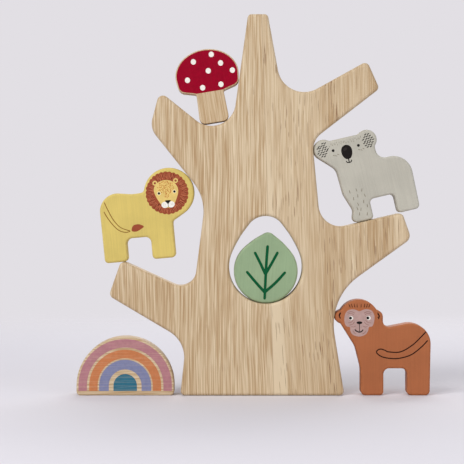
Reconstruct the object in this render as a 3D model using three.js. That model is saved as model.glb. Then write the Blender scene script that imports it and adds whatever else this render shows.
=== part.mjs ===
// Wooden balance tree: a slab tree with a leaf in its trunk and eight loose pieces to perch on it.
// Millimetres, +X right, +Y away from the viewer, +Z up; the origin is the middle of the tree's foot.

import * as THREE from 'three';

// Fits and facets
const GAP = 0.3;                 // air left between two pieces that touch
const FACET = 0.1;               // farthest that a flat facet strays from its curve
const EDGE_STEPS = 3;            // facets across a rounded edge

// Slabs
const TREE_THICKNESS = 22;
const TREE_EDGE = 2.2;           // rounding of the tree's edges
const PIECE_THICKNESS = 18;
const PIECE_EDGE = 1.6;          // rounding of every loose piece's edges
const FOOT_ROUND = 2.6;          // corners of the feet

// Tree: corners of the outline as [x, z, fillet radius]
const TREE_HEIGHT = 255.9;
const TRUNK_FOOT = 110.4;        // width of the trunk where it stands
const TRUNK_ROUND = 3;
const TOP_X = -3;                // middle of the flat top
const TOP_WIDTH = 13.2;
const TOP_ROUND = 2.7;
const LOWER_LEFT_ARMPIT = [-51.3, 36.2, 20];
const LOWER_LEFT_CHIN = [-103.2, 67, 4];
const LOWER_LEFT_TIP = [-94.8, 90.8, 3.5];
const LOWER_LEFT_FORK = [-46.4, 68.8, 10.7];
const UPPER_LEFT_ARMPIT = [-38.1, 132.7, 31];
const UPPER_LEFT_CHIN = [-75.5, 179.6, 13];
const UPPER_LEFT_TIP = [-69, 204.4, 4];
const UPPER_LEFT_FORK = [-22, 166.8, 16.3];
const UPPER_RIGHT_FORK = [14.9, 194, 17.9];
const UPPER_RIGHT_TIP = [70.2, 224.6, 3.5];
const UPPER_RIGHT_CHIN = [78.5, 206, 3.5];
const UPPER_RIGHT_ARMPIT = [33.5, 171.3, 13.5];
const LOWER_RIGHT_FORK = [39.4, 110.2, 15];
const LOWER_RIGHT_TIP = [93.9, 122.9, 3.5];
const LOWER_RIGHT_CHIN = [100, 105.5, 5.5];
const LOWER_RIGHT_ARMPIT = [44.5, 65.5, 40];

// Egg-shaped hole and the leaf that stands in it
const HOLE_X = 2.3;
const HOLE_Z = 86.4;             // height of its widest line
const HOLE_RADIUS = 24.65;       // round lower half
const HOLE_RISE = 34.2;          // egg's top above the widest line
const HOLE_TIP = 14;             // rounding of the egg's top
const HOLE_FLANK = 80;           // radius of the long arcs at its sides
const LEAF_PLAY = 3.2;           // hole radius less leaf radius
const LEAF_RISE = 26;            // leaf's tip above its widest line
const LEAF_TIP = 5;              // rounding of the leaf's tip
const LEAF_FLANK = 60;
const LEAF_LEAN = 4.5;           // degrees clockwise

// Mushroom
const STEM_WIDTH = 20;
const STEM_NECK = 18.4;
const STEM_HEIGHT = 20.4;
const NECK_ROUND = 1.5;
const STEM_ROUND = 4;
const CAP_WIDTH = 42.6;
const CAP_RISE = 17.4;           // top of the cap above its widest line
const CAP_SKIRT = 11.8;          // widest line above the stem
const CAP_HEM = 3;               // lower corners of the cap above the stem
const CAP_TUCK = 1;              // lower corners of the cap inside its widest line
const CAP_ROUND = 5;

// Lion, facing right
const LION_LENGTH = 47.8;        // rump to front foot
const LION_LEG = 15.6;
const LION_BELLY = 15.3;
const LION_BACK = 44.6;
const LION_RUMP = 48.2;
const LION_HEAD_RADIUS = 16.9;
const LION_HEAD_Z = 43.4;
const LION_HEAD_REACH = 0.8;     // front foot beyond the middle of the head
const LION_CHIN = -60;           // degrees round the head where the chest leaves it
const LION_CHIN_ROUND = 3;
const LION_NAPE = 162;           // degrees round the head where the back meets it
const LION_NAPE_RISE = 0.7;      // back there above its lowest part
const LION_NAPE_ROUND = 2.2;
const LION_CROTCH = 4;           // rounding between legs and belly
const LION_SADDLE_X = -1;        // lowest part of the back
const LION_SADDLE_ROUND = 25;
const LION_RUMP_BULGE = 0.5;     // rump beyond the rear foot
const LION_RUMP_ROUND = 12;
const LION_HOLD = 3;             // the branch tip meets the rear foot this far from its inner edge

// Koala, facing left
const KOALA_LEG = 15;
const KOALA_LEG_GAP = 16.9;
const KOALA_BELLY = 13.4;
const KOALA_BACK = 38.4;
const KOALA_EAR_RADIUS = 6.75;
const KOALA_EAR_SPAN = 29.6;
const KOALA_EAR_Z = 52.75;
const KOALA_EAR_X = 5.05;        // middle of the rear ear
const KOALA_EAR_LOW = -40;       // degrees round the rear ear where the nape leaves it
const KOALA_EAR_HIGH = 120;      // degrees round the rear ear where the crown meets it
const KOALA_EAR_CREASE = 3;
const KOALA_CHEEK = 225;         // degrees round the front ear where the chest leaves it
const KOALA_CHEEK_ROUND = 8;
const KOALA_CROWN = 57.6;
const KOALA_NAPE_REACH = 4.3;    // rear of the head beyond the middle of the ear
const KOALA_NAPE_ROUND = 6;
const KOALA_NAPE_CREASE = 2;
const KOALA_HEEL_X = -2.2;       // inner side of the front leg
const KOALA_TOE_ROUND = 3.2;
const KOALA_CROTCH = 3;
const KOALA_RUMP_BULGE = 0.8;    // rump beyond the rear foot
const KOALA_RUMP_ROUND = 13;
const KOALA_CHEST = -2;          // from the toe
const KOALA_WAIST = [-1.2, 20.4, 10];
const KOALA_SHIN = [2.9, 8.5, 5];

// Monkey, facing left
const MONKEY_LEG = 15.2;
const MONKEY_LEG_GAP = 15.9;
const MONKEY_BELLY = 18.1;
const MONKEY_NAPE = 45.1;
const MONKEY_RUMP = 51.5;
const MONKEY_SKULL_RADIUS = 13.9;
const MONKEY_SKULL_Z = 50.5;
const MONKEY_SKULL_X = -14.4;
const MONKEY_EAR_RADIUS = 4.4;
const MONKEY_EAR_SPAN = 23.6;
const MONKEY_EAR_Z = 52.8;
const MONKEY_EAR_TOP = 75;       // degrees round the rear ear where the skull meets it
const MONKEY_TEMPLE = 35;        // degrees round the skull where the rear ear meets it
const MONKEY_EAR_CREASE = 1.8;
const MONKEY_EAR_LOBE = 250;     // degrees round the front ear where the jaw leaves it
const MONKEY_JAW = 212;          // degrees round the skull's middle at which the jaw lies
const MONKEY_JAW_REACH = 11.5;   // jaw from the skull's middle
const MONKEY_TOE_X = -13;
const MONKEY_TOE_ROUND = 3;
const MONKEY_CROTCH = 4;
const MONKEY_RUMP_BULGE = 1;     // rump beyond the rear foot
const MONKEY_RUMP_ROUND = 14;
const MONKEY_NAPE_ROUND = 4;
const MONKEY_CHEST = -3.6;       // from the toe
const MONKEY_CHEST_ROUND = 12;
const MONKEY_WAIST_ROUND = 20;

// Rainbow
const RAINBOW_RADIUS = 32.8;
const RAINBOW_LEGS = 6.5;        // straight stretch below the arch
const RAINBOW_X = -92.2;

// Hedgehog, facing left
const HEDGEHOG_LENGTH = 54;
const HEDGEHOG_HEIGHT = 36;
const HEDGEHOG_FOOT = 10.5;
const HEDGEHOG_BELLY = 3.6;
const HEDGEHOG_TOE = 11;         // front foot from the tip of the nose
const HEDGEHOG_HEEL = -4;        // rear foot from the rump
const HEDGEHOG_FOOT_ROUND = 2.4;
const HEDGEHOG_FLARE = 1;        // slope of the feet's inner sides
const HEDGEHOG_CROTCH = 2;
const HEDGEHOG_HAUNCH = [0, 8, 7];
const HEDGEHOG_BACK_ROUND = 19;
const HEDGEHOG_CROWN_X = 17;     // from the tip of the nose
const HEDGEHOG_CROWN_RISE = 1;   // above the back
const HEDGEHOG_CROWN_ROUND = 17;
const HEDGEHOG_BROW = [12, 20, 7];
const HEDGEHOG_NOSE = [0, 14, 2.8];
const HEDGEHOG_CHIN = [2, 7, 3.2];
const HEDGEHOG_THROAT = [0, 4.6, 2];

// Rabbit, facing left
const RABBIT_LENGTH = 38;
const RABBIT_HEIGHT = 58;
const RABBIT_FRONT_LEG = 11;
const RABBIT_LEG_GAP = 8;
const RABBIT_BELLY = 8;
const RABBIT_BACK = 27;
const RABBIT_HEAD_RADIUS = 10;
const RABBIT_HEAD_Z = 32.5;
const RABBIT_EAR_WIDTH = 7.4;
const RABBIT_EAR_ROUND = 3.2;
const RABBIT_EAR_STEP = 1.8;     // front ear shorter than the rear one
const RABBIT_EAR_SINK = 1;       // feet of the ears below the top of the head
const RABBIT_EAR_ARMPIT = 3;
const RABBIT_REAR_EAR = [4.2, 11.8];    // sides of its tip, from the parting
const RABBIT_FRONT_EAR = [-3, -10.6];
const RABBIT_EAR_DROOP = [1, 0.6];      // outer side of each tip below its inner side, rear and front
const RABBIT_PARTING = [1, 2, 1.8];     // between the ears: behind the head's middle, above the ears' feet
const RABBIT_CROTCH = 3;
const RABBIT_RUMP_ROUND = 12;
const RABBIT_NAPE = -15;         // degrees round the head where the back meets it
const RABBIT_NAPE_ROUND = 4;
const RABBIT_BROW = 40;          // degrees round the head where the ears stand, either side
const RABBIT_CHIN = 235;         // degrees round the head where the chest leaves it
const RABBIT_CHEST = 2.4;        // from the chin to where the chest sets in
const RABBIT_CHEST_ROUND = 3.2;

// Crocodile, facing left
const CROCODILE_LENGTH = 100;
const CROCODILE_BACK = 24;
const CROCODILE_LEG = 12.5;
const CROCODILE_LEG_GAP = 21;
const CROCODILE_BELLY = 8.5;
const CROCODILE_SCUTES = 4;
const CROCODILE_SCUTE_PITCH = 9;
const CROCODILE_SCUTE_RISE = 3;
const CROCODILE_SCUTE_TIP = 2.4;
const CROCODILE_SCUTE_VALLEY = 2;
const CROCODILE_EYE_RADIUS = 4.6;
const CROCODILE_EYE = [-2, 2];   // middle of the eye from the front toe and from the back
const CROCODILE_EYE_SPAN = [-20, 160];  // degrees round the eye where it stands clear of the head
const CROCODILE_TOE = 29;        // front foot from the snout
const CROCODILE_CROTCH = 3;
const CROCODILE_TAIL_ROOT = -1;  // under the tail, from the belly
const CROCODILE_TAIL_UNDER = [0, 6, 2.4];
const CROCODILE_TAIL_TIP = [-1, 11.5, 2.4];
const CROCODILE_HIPS = -2;       // start of the scutes from the rear heel
const CROCODILE_HIP_SLOPE = [6, -2, 14];    // from the hips and from the back
const CROCODILE_BROW = [-6.6, -3.5, 4];     // from the eye and from the back
const CROCODILE_BRIDGE = [9, -7, 6];        // from the snout and from the back
const CROCODILE_NOSTRIL = [0, -4.5, 4.5];
const CROCODILE_JAW = [0, 8, 4.5];
const CROCODILE_THROAT = [0, 9.5, 3];

// Row of pieces that stand on the table behind the trunk
const ROW_SPACE = 8;             // from the tree to the first row, and on to the next
const ROW_NEIGHBOUR = 4;         // between two pieces of one row
const ROW_LEFT = -50;

const rad = THREE.MathUtils.degToRad;
const upright = (x) => ({ x, z: 0, dx: 0, dz: 1 });
const level = (z) => ({ x: 0, z, dx: 1, dz: 0 });
const from = (x, [dx, dz, radius], z = 0) => [x + dx, z + dz, radius];

/** The line that touches a circle at an angle, counted anticlockwise from its right side. */
function tangent(circle, degrees) {
  const angle = rad(degrees);
  return {
    x: circle.x + circle.r * Math.cos(angle),
    z: circle.z + circle.r * Math.sin(angle),
    dx: -Math.sin(angle),
    dz: Math.cos(angle),
  };
}

/** A corner of the given fillet radius where two lines cross. */
function cross(a, b, radius) {
  const turn = a.dx * b.dz - a.dz * b.dx;
  const along = ((b.x - a.x) * b.dz - (b.z - a.z) * b.dx) / turn;
  return [a.x + along * a.dx, a.z + along * a.dz, radius];
}

/** A corner of the given fillet radius some way along a line. */
function beyond(line, length, radius) {
  return [line.x + length * line.dx, line.z + length * line.dz, radius];
}

/** Corners whose fillets follow a circle anticlockwise from one angle to another. */
function round(circle, from, to) {
  const count = Math.ceil((to - from) / 90);
  const step = (to - from) / count;
  const reach = circle.r / Math.cos(rad(step / 2));
  return Array.from({ length: count }, (_, i) => {
    const angle = rad(from + (i + 0.5) * step);
    return [circle.x + reach * Math.cos(angle), circle.z + reach * Math.sin(angle), circle.r];
  });
}

/** Points of an arc, anticlockwise from one angle up to another, in radians, without its end. */
function arc(x, z, radius, from, to) {
  const count = Math.ceil((to - from) / (2 * Math.acos(1 - FACET / radius)));
  return Array.from({ length: count }, (_, i) => {
    const angle = from + ((to - from) * i) / count;
    return [x + radius * Math.cos(angle), z + radius * Math.sin(angle), 0];
  });
}

/** Points of half an oval from its right end over the top to its left end. */
function halfOval(x, z, halfWidth, rise) {
  const circle = [...arc(0, 0, halfWidth, 0, Math.PI), [-halfWidth, 0]];
  return circle.map(([across, up]) => [x + across, z + (up * rise) / halfWidth, 0]);
}

/** Fillet at each corner: its tangent points, centre, radius and signed turn. */
function fillets(corners) {
  const count = corners.length;
  const spots = corners.map(([x, z]) => new THREE.Vector2(x, z));
  const sides = spots.map((spot, i) => spots[(i + 1) % count].clone().sub(spot));
  const turns = sides.map((side, i) => {
    const before = sides[(i + count - 1) % count];
    return Math.atan2(before.cross(side), before.dot(side));
  });
  const reaches = corners.map((corner, i) => corner[2] * Math.tan(Math.abs(turns[i]) / 2));
  return corners.map((corner, i) => {
    const last = (i + count - 1) % count;
    const next = (i + 1) % count;
    const room = Math.min(
      1,
      sides[last].length() / (reaches[last] + reaches[i]),
      sides[i].length() / (reaches[i] + reaches[next]),
    );
    const radius = corner[2] * room;
    const heading = sides[last].clone().normalize();
    const start = spots[i].clone().addScaledVector(heading, -reaches[i] * room);
    const inward = new THREE.Vector2(-heading.y, heading.x).multiplyScalar(Math.sign(turns[i]));
    return { start, centre: start.clone().addScaledVector(inward, radius), radius, turn: turns[i] };
  });
}

/** Closed outline through rounded corners. */
function outlineOf(corners) {
  const points = fillets(corners).flatMap(({ start, centre, radius, turn }) => {
    if (radius < FACET) return [start];
    const count = Math.ceil(Math.abs(turn) / (2 * Math.acos(1 - FACET / radius)));
    return Array.from({ length: count + 1 }, (_, i) => (
      start.clone().rotateAround(centre, (turn * i) / count)
    ));
  });
  return points.filter((point, i) => point.distanceTo(points.at(i - 1)) > FACET / 2);
}

/** Fillet of one corner of the tree. */
function treeFillet(corner) {
  return fillets(treeCorners)[treeCorners.indexOf(corner)];
}

/** Rounded slab of an outline, standing upright with its thickness centred on Y. */
function slab(outline, thickness, edge, holes = []) {
  const shape = new THREE.Shape(outline);
  shape.holes = holes.map((hole) => new THREE.Path(hole));
  const geometry = new THREE.ExtrudeGeometry(shape, {
    depth: thickness - 2 * edge,
    bevelThickness: edge,
    bevelSize: edge,
    bevelOffset: -edge,
    bevelSegments: EDGE_STEPS,
  });
  geometry.translate(0, 0, edge - thickness / 2);
  return geometry.rotateX(Math.PI / 2);
}

/** Outline moved to a pose and leaned clockwise by its lean. */
function posed(outline, { x, z, lean }) {
  const origin = new THREE.Vector2(0, 0);
  const shift = new THREE.Vector2(x, z);
  return outline.map((point) => point.clone().rotateAround(origin, -lean).add(shift));
}

/** Distance from a point to the nearest side of a closed outline, negative inside it. */
function distanceTo(outline, point) {
  let inside = false;
  let nearest = Infinity;
  outline.forEach((end, i) => {
    const start = outline.at(i - 1);
    const side = end.clone().sub(start);
    const offset = point.clone().sub(start);
    const along = THREE.MathUtils.clamp(offset.dot(side) / side.lengthSq(), 0, 1);
    nearest = Math.min(nearest, offset.addScaledVector(side, -along).length());
    const spans = (start.y > point.y) !== (end.y > point.y);
    if (spans && point.x < start.x + (side.x * (point.y - start.y)) / side.y) inside = !inside;
  });
  return inside ? -nearest : nearest;
}

/** Pose in which a piece has come up to the tree, between a clear and a blocked setting. */
function settle(outline, pose, clear, blocked) {
  let [open, shut] = [clear, blocked];
  const halvings = 40;
  for (let i = 0; i < halvings; i += 1) {
    const middle = (open + shut) / 2;
    const gaps = posed(outline, pose(middle)).map((point) => distanceTo(treeOutline, point));
    if (Math.min(...gaps) >= GAP) open = middle;
    else shut = middle;
  }
  return pose(open);
}

const treeCorners = [
  [-TRUNK_FOOT / 2, 0, TRUNK_ROUND],
  LOWER_LEFT_ARMPIT,
  LOWER_LEFT_CHIN,
  LOWER_LEFT_TIP,
  LOWER_LEFT_FORK,
  UPPER_LEFT_ARMPIT,
  UPPER_LEFT_CHIN,
  UPPER_LEFT_TIP,
  UPPER_LEFT_FORK,
  [TOP_X - TOP_WIDTH / 2, TREE_HEIGHT, TOP_ROUND],
  [TOP_X + TOP_WIDTH / 2, TREE_HEIGHT, TOP_ROUND],
  UPPER_RIGHT_FORK,
  UPPER_RIGHT_TIP,
  UPPER_RIGHT_CHIN,
  UPPER_RIGHT_ARMPIT,
  LOWER_RIGHT_FORK,
  LOWER_RIGHT_TIP,
  LOWER_RIGHT_CHIN,
  LOWER_RIGHT_ARMPIT,
  [TRUNK_FOOT / 2, 0, TRUNK_ROUND],
];
const treeOutline = outlineOf(treeCorners);

/** Egg or leaf: a round lower half, and long arcs at its sides that end in a smaller round top. */
function eggOutline(x, z, radius, rise, tip, flank) {
  const top = rise - tip;
  const inner = flank - radius;
  const low = Math.asin(((flank - tip) ** 2 - inner ** 2 - top ** 2) / (2 * top * inner));
  const across = inner * Math.cos(low);
  const down = inner * Math.sin(low);
  const high = Math.atan2(top + down, across);
  return outlineOf([
    ...arc(x - across, z - down, flank, low, high),
    ...arc(x, z + top, tip, high, Math.PI - high),
    ...arc(x + across, z - down, flank, Math.PI - high, Math.PI - low),
    ...arc(x, z, radius, Math.PI - low, 2 * Math.PI + low),
  ]);
}

function leafOutline() {
  return eggOutline(0, 0, HOLE_RADIUS - LEAF_PLAY, LEAF_RISE, LEAF_TIP, LEAF_FLANK);
}

function mushroomOutline() {
  const hem = STEM_HEIGHT + CAP_HEM;
  const half = CAP_WIDTH / 2;
  return outlineOf([
    [-STEM_WIDTH / 2, 0, STEM_ROUND],
    [STEM_WIDTH / 2, 0, STEM_ROUND],
    [STEM_NECK / 2, STEM_HEIGHT, NECK_ROUND],
    [half - CAP_TUCK, hem, CAP_ROUND],
    ...halfOval(0, STEM_HEIGHT + CAP_SKIRT, half, CAP_RISE),
    [CAP_TUCK - half, hem, CAP_ROUND],
    [-STEM_NECK / 2, STEM_HEIGHT, NECK_ROUND],
  ]);
}

function lionOutline() {
  const rear = -LION_LENGTH / 2;
  const front = LION_LENGTH / 2;
  const head = { x: front - LION_HEAD_REACH, z: LION_HEAD_Z, r: LION_HEAD_RADIUS };
  return outlineOf([
    [rear, 0, FOOT_ROUND],
    [rear + LION_LEG, 0, FOOT_ROUND],
    [rear + LION_LEG, LION_BELLY, LION_CROTCH],
    [front - LION_LEG, LION_BELLY, LION_CROTCH],
    [front - LION_LEG, 0, FOOT_ROUND],
    [front, 0, FOOT_ROUND],
    cross(upright(front), tangent(head, LION_CHIN), LION_CHIN_ROUND),
    ...round(head, LION_CHIN, LION_NAPE),
    cross(tangent(head, LION_NAPE), level(LION_BACK + LION_NAPE_RISE), LION_NAPE_ROUND),
    [LION_SADDLE_X, LION_BACK, LION_SADDLE_ROUND],
    [rear - LION_RUMP_BULGE, LION_RUMP, LION_RUMP_ROUND],
  ]);
}

function koalaOutline() {
  const rearFoot = KOALA_HEEL_X + KOALA_LEG_GAP;
  const rump = rearFoot + KOALA_LEG;
  const toe = KOALA_HEEL_X - KOALA_LEG;
  const rearEar = { x: KOALA_EAR_X, z: KOALA_EAR_Z, r: KOALA_EAR_RADIUS };
  const frontEar = { ...rearEar, x: KOALA_EAR_X - KOALA_EAR_SPAN };
  const nape = upright(KOALA_EAR_X + KOALA_NAPE_REACH);
  const crown = level(KOALA_CROWN);
  const frontHigh = 180 - KOALA_EAR_HIGH;
  return outlineOf([
    [toe, 0, KOALA_TOE_ROUND],
    [KOALA_HEEL_X, 0, FOOT_ROUND],
    [KOALA_HEEL_X, KOALA_BELLY, KOALA_CROTCH],
    [rearFoot, KOALA_BELLY, KOALA_CROTCH],
    [rearFoot, 0, FOOT_ROUND],
    [rump, 0, KOALA_TOE_ROUND],
    [rump + KOALA_RUMP_BULGE, KOALA_BACK, KOALA_RUMP_ROUND],
    cross(level(KOALA_BACK), nape, KOALA_NAPE_ROUND),
    cross(nape, tangent(rearEar, KOALA_EAR_LOW), KOALA_NAPE_CREASE),
    ...round(rearEar, KOALA_EAR_LOW, KOALA_EAR_HIGH),
    cross(tangent(rearEar, KOALA_EAR_HIGH), crown, KOALA_EAR_CREASE),
    cross(crown, tangent(frontEar, frontHigh), KOALA_EAR_CREASE),
    ...round(frontEar, frontHigh, KOALA_CHEEK),
    cross(tangent(frontEar, KOALA_CHEEK), upright(toe + KOALA_CHEST), KOALA_CHEEK_ROUND),
    from(toe, KOALA_WAIST),
    from(toe, KOALA_SHIN),
  ]);
}

function monkeyOutline() {
  const heel = MONKEY_TOE_X + MONKEY_LEG;
  const rearFoot = heel + MONKEY_LEG_GAP;
  const rump = rearFoot + MONKEY_LEG;
  const skull = { x: MONKEY_SKULL_X, z: MONKEY_SKULL_Z, r: MONKEY_SKULL_RADIUS };
  const ear = { z: MONKEY_EAR_Z, r: MONKEY_EAR_RADIUS };
  const rearEar = { ...ear, x: skull.x + MONKEY_EAR_SPAN / 2 };
  const frontEar = { ...ear, x: skull.x - MONKEY_EAR_SPAN / 2 };
  const frontTop = 180 - MONKEY_EAR_TOP;
  const jaw = tangent({ ...skull, r: MONKEY_JAW_REACH }, MONKEY_JAW);
  return outlineOf([
    [MONKEY_TOE_X, 0, MONKEY_TOE_ROUND],
    [heel, 0, FOOT_ROUND],
    [heel, MONKEY_BELLY, MONKEY_CROTCH],
    [rearFoot, MONKEY_BELLY, MONKEY_CROTCH],
    [rearFoot, 0, FOOT_ROUND],
    [rump, 0, MONKEY_TOE_ROUND],
    [rump + MONKEY_RUMP_BULGE, MONKEY_RUMP, MONKEY_RUMP_ROUND],
    cross(level(MONKEY_NAPE), tangent(rearEar, 0), MONKEY_NAPE_ROUND),
    ...round(rearEar, 0, MONKEY_EAR_TOP),
    cross(tangent(rearEar, MONKEY_EAR_TOP), tangent(skull, MONKEY_TEMPLE), MONKEY_EAR_CREASE),
    ...round(skull, MONKEY_TEMPLE, 180 - MONKEY_TEMPLE),
    cross(tangent(skull, 180 - MONKEY_TEMPLE), tangent(frontEar, frontTop), MONKEY_EAR_CREASE),
    ...round(frontEar, frontTop, MONKEY_EAR_LOBE),
    cross(tangent(frontEar, MONKEY_EAR_LOBE), jaw, MONKEY_EAR_CREASE),
    cross(jaw, upright(MONKEY_TOE_X + MONKEY_CHEST), MONKEY_CHEST_ROUND),
    [MONKEY_TOE_X, MONKEY_BELLY, MONKEY_WAIST_ROUND],
  ]);
}

function rainbowOutline() {
  const top = RAINBOW_LEGS + RAINBOW_RADIUS;
  return outlineOf([
    [-RAINBOW_RADIUS, 0, FOOT_ROUND],
    [RAINBOW_RADIUS, 0, FOOT_ROUND],
    [RAINBOW_RADIUS, top, RAINBOW_RADIUS],
    [-RAINBOW_RADIUS, top, RAINBOW_RADIUS],
  ]);
}

function hedgehogOutline() {
  const nose = -HEDGEHOG_LENGTH / 2;
  const rump = HEDGEHOG_LENGTH / 2;
  const toe = nose + HEDGEHOG_TOE;
  const frontHeel = toe + HEDGEHOG_FOOT;
  const heel = rump + HEDGEHOG_HEEL;
  const rearToe = heel - HEDGEHOG_FOOT;
  return outlineOf([
    [toe, 0, HEDGEHOG_FOOT_ROUND],
    [frontHeel, 0, HEDGEHOG_FOOT_ROUND],
    [frontHeel + HEDGEHOG_FLARE, HEDGEHOG_BELLY, HEDGEHOG_CROTCH],
    [rearToe - HEDGEHOG_FLARE, HEDGEHOG_BELLY, HEDGEHOG_CROTCH],
    [rearToe, 0, HEDGEHOG_FOOT_ROUND],
    [heel, 0, HEDGEHOG_FOOT_ROUND],
    from(rump, HEDGEHOG_HAUNCH),
    [rump, HEDGEHOG_HEIGHT, HEDGEHOG_BACK_ROUND],
    [nose + HEDGEHOG_CROWN_X, HEDGEHOG_HEIGHT + HEDGEHOG_CROWN_RISE, HEDGEHOG_CROWN_ROUND],
    from(nose, HEDGEHOG_BROW),
    from(nose, HEDGEHOG_NOSE),
    from(nose, HEDGEHOG_CHIN),
    from(toe, HEDGEHOG_THROAT),
  ]);
}

function rabbitOutline() {
  const toe = -RABBIT_LENGTH / 2;
  const heel = toe + RABBIT_FRONT_LEG;
  const rearFoot = heel + RABBIT_LEG_GAP;
  const rump = RABBIT_LENGTH / 2;
  const head = { x: toe + RABBIT_HEAD_RADIUS, z: RABBIT_HEAD_Z, r: RABBIT_HEAD_RADIUS };
  const earFoot = head.z + head.r - RABBIT_EAR_SINK;
  const [behind, above, partingRound] = RABBIT_PARTING;
  const parting = head.x + behind;
  const frontEarTop = RABBIT_HEIGHT - RABBIT_EAR_STEP;
  return outlineOf([
    [toe, 0, FOOT_ROUND],
    [heel, 0, FOOT_ROUND],
    [heel, RABBIT_BELLY, RABBIT_CROTCH],
    [rearFoot, RABBIT_BELLY, RABBIT_CROTCH],
    [rearFoot, 0, FOOT_ROUND],
    [rump, 0, FOOT_ROUND],
    [rump, RABBIT_BACK, RABBIT_RUMP_ROUND],
    cross(level(RABBIT_BACK), tangent(head, RABBIT_NAPE), RABBIT_NAPE_ROUND),
    ...round(head, RABBIT_NAPE, RABBIT_BROW),
    [parting + RABBIT_EAR_WIDTH, earFoot, RABBIT_EAR_ARMPIT],
    [parting + RABBIT_REAR_EAR[1], RABBIT_HEIGHT - RABBIT_EAR_DROOP[0], RABBIT_EAR_ROUND],
    [parting + RABBIT_REAR_EAR[0], RABBIT_HEIGHT, RABBIT_EAR_ROUND],
    [parting, earFoot + above, partingRound],
    [parting + RABBIT_FRONT_EAR[0], frontEarTop, RABBIT_EAR_ROUND],
    [parting + RABBIT_FRONT_EAR[1], frontEarTop - RABBIT_EAR_DROOP[1], RABBIT_EAR_ROUND],
    [parting - RABBIT_EAR_WIDTH, earFoot, RABBIT_EAR_ARMPIT],
    ...round(head, 180 - RABBIT_BROW, RABBIT_CHIN),
    beyond(tangent(head, RABBIT_CHIN), RABBIT_CHEST, RABBIT_CHEST_ROUND),
  ]);
}

function crocodileOutline() {
  const snout = -CROCODILE_LENGTH / 2;
  const tail = CROCODILE_LENGTH / 2;
  const toe = snout + CROCODILE_TOE;
  const heel = toe + CROCODILE_LEG;
  const rearFoot = heel + CROCODILE_LEG_GAP;
  const rearHeel = rearFoot + CROCODILE_LEG;
  const eye = { x: toe + CROCODILE_EYE[0], z: CROCODILE_BACK + CROCODILE_EYE[1], r: CROCODILE_EYE_RADIUS };
  const [eyeRear, eyeFront] = CROCODILE_EYE_SPAN;
  const hips = rearHeel + CROCODILE_HIPS;
  const scutes = Array.from({ length: CROCODILE_SCUTES }, (_, i) => {
    const x = hips - (i + 0.5) * CROCODILE_SCUTE_PITCH;
    return [
      [x + CROCODILE_SCUTE_PITCH / 2, CROCODILE_BACK, CROCODILE_SCUTE_VALLEY],
      [x, CROCODILE_BACK + CROCODILE_SCUTE_RISE, CROCODILE_SCUTE_TIP],
    ];
  }).flat();
  return outlineOf([
    [toe, 0, FOOT_ROUND],
    [heel, 0, FOOT_ROUND],
    [heel, CROCODILE_BELLY, CROCODILE_CROTCH],
    [rearFoot, CROCODILE_BELLY, CROCODILE_CROTCH],
    [rearFoot, 0, FOOT_ROUND],
    [rearHeel, 0, FOOT_ROUND],
    [rearHeel, CROCODILE_BELLY + CROCODILE_TAIL_ROOT, CROCODILE_CROTCH],
    from(tail, CROCODILE_TAIL_UNDER),
    from(tail, CROCODILE_TAIL_TIP),
    from(hips, CROCODILE_HIP_SLOPE, CROCODILE_BACK),
    ...scutes,
    cross(level(CROCODILE_BACK), tangent(eye, eyeRear), CROCODILE_SCUTE_VALLEY),
    ...round(eye, eyeRear, eyeFront),
    from(eye.x, CROCODILE_BROW, CROCODILE_BACK),
    from(snout, CROCODILE_BRIDGE, CROCODILE_BACK),
    from(snout, CROCODILE_NOSTRIL, CROCODILE_BACK),
    from(snout, CROCODILE_JAW),
    from(toe, CROCODILE_THROAT),
  ]);
}

const finish = (color, roughness) => new THREE.MeshStandardMaterial({ color, roughness, metalness: 0 });

const toy = new THREE.Group();

/** Adds a loose piece to the toy at a pose, with its middle plane at a depth. */
function addPiece(name, outline, { x, z, lean }, depth, material) {
  const piece = new THREE.Mesh(slab(outline, PIECE_THICKNESS, PIECE_EDGE), material);
  piece.name = name;
  piece.position.set(x, depth, z);
  piece.rotation.y = lean;
  toy.add(piece);
}

// Tree with its hole
const hole = eggOutline(HOLE_X, HOLE_Z, HOLE_RADIUS, HOLE_RISE, HOLE_TIP, HOLE_FLANK);
const bareWood = finish('#d9bd93', 0.62);
const tree = new THREE.Mesh(slab(treeOutline, TREE_THICKNESS, TREE_EDGE, [hole]), bareWood);
tree.name = 'tree';
toy.add(tree);

// Leaf: stands on the lowest point of the hole
const leafPose = { x: HOLE_X, z: HOLE_Z - LEAF_PLAY + GAP, lean: rad(LEAF_LEAN) };
addPiece('leaf', leafOutline(), leafPose, 0, finish('#91aa84', 0.6));

// Mushroom: the stem's rounded corners bear on the arc of the fork, and it tips until its cap is clear
const fork = treeFillet(UPPER_LEFT_FORK);
const cornerReach = fork.radius - STEM_ROUND - GAP - FACET;
const stemDrop = Math.sqrt(cornerReach ** 2 - (STEM_WIDTH / 2 - STEM_ROUND) ** 2) + STEM_ROUND;
const mushroom = mushroomOutline();
const cap = mushroom.filter((point) => point.y > STEM_HEIGHT);
const stemInFork = (lean) => ({
  x: fork.centre.x - stemDrop * Math.sin(lean),
  z: fork.centre.y - stemDrop * Math.cos(lean),
  lean,
});
addPiece('mushroom', mushroom, settle(cap, stemInFork, rad(-25), 0), 0, finish('#a00f2c', 0.55));

// Lion: one rear foot on the tip of the lower left branch, its mane up against the branch above
const perch = treeFillet(LOWER_LEFT_TIP);
const hold = LION_LEG - LION_LENGTH / 2 - LION_HOLD;
const lion = lionOutline();
const mane = lion.filter((point) => point.y > LION_BELLY + LION_HEAD_RADIUS);
const onPerch = (lean) => ({
  x: perch.centre.x + (perch.radius + GAP) * Math.sin(lean) - hold * Math.cos(lean),
  z: perch.centre.y + (perch.radius + GAP) * Math.cos(lean) + hold * Math.sin(lean),
  lean,
});
addPiece('lion', lion, settle(mane, onPerch, rad(-15), rad(5)), 0, finish('#d5be69', 0.55));

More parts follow.
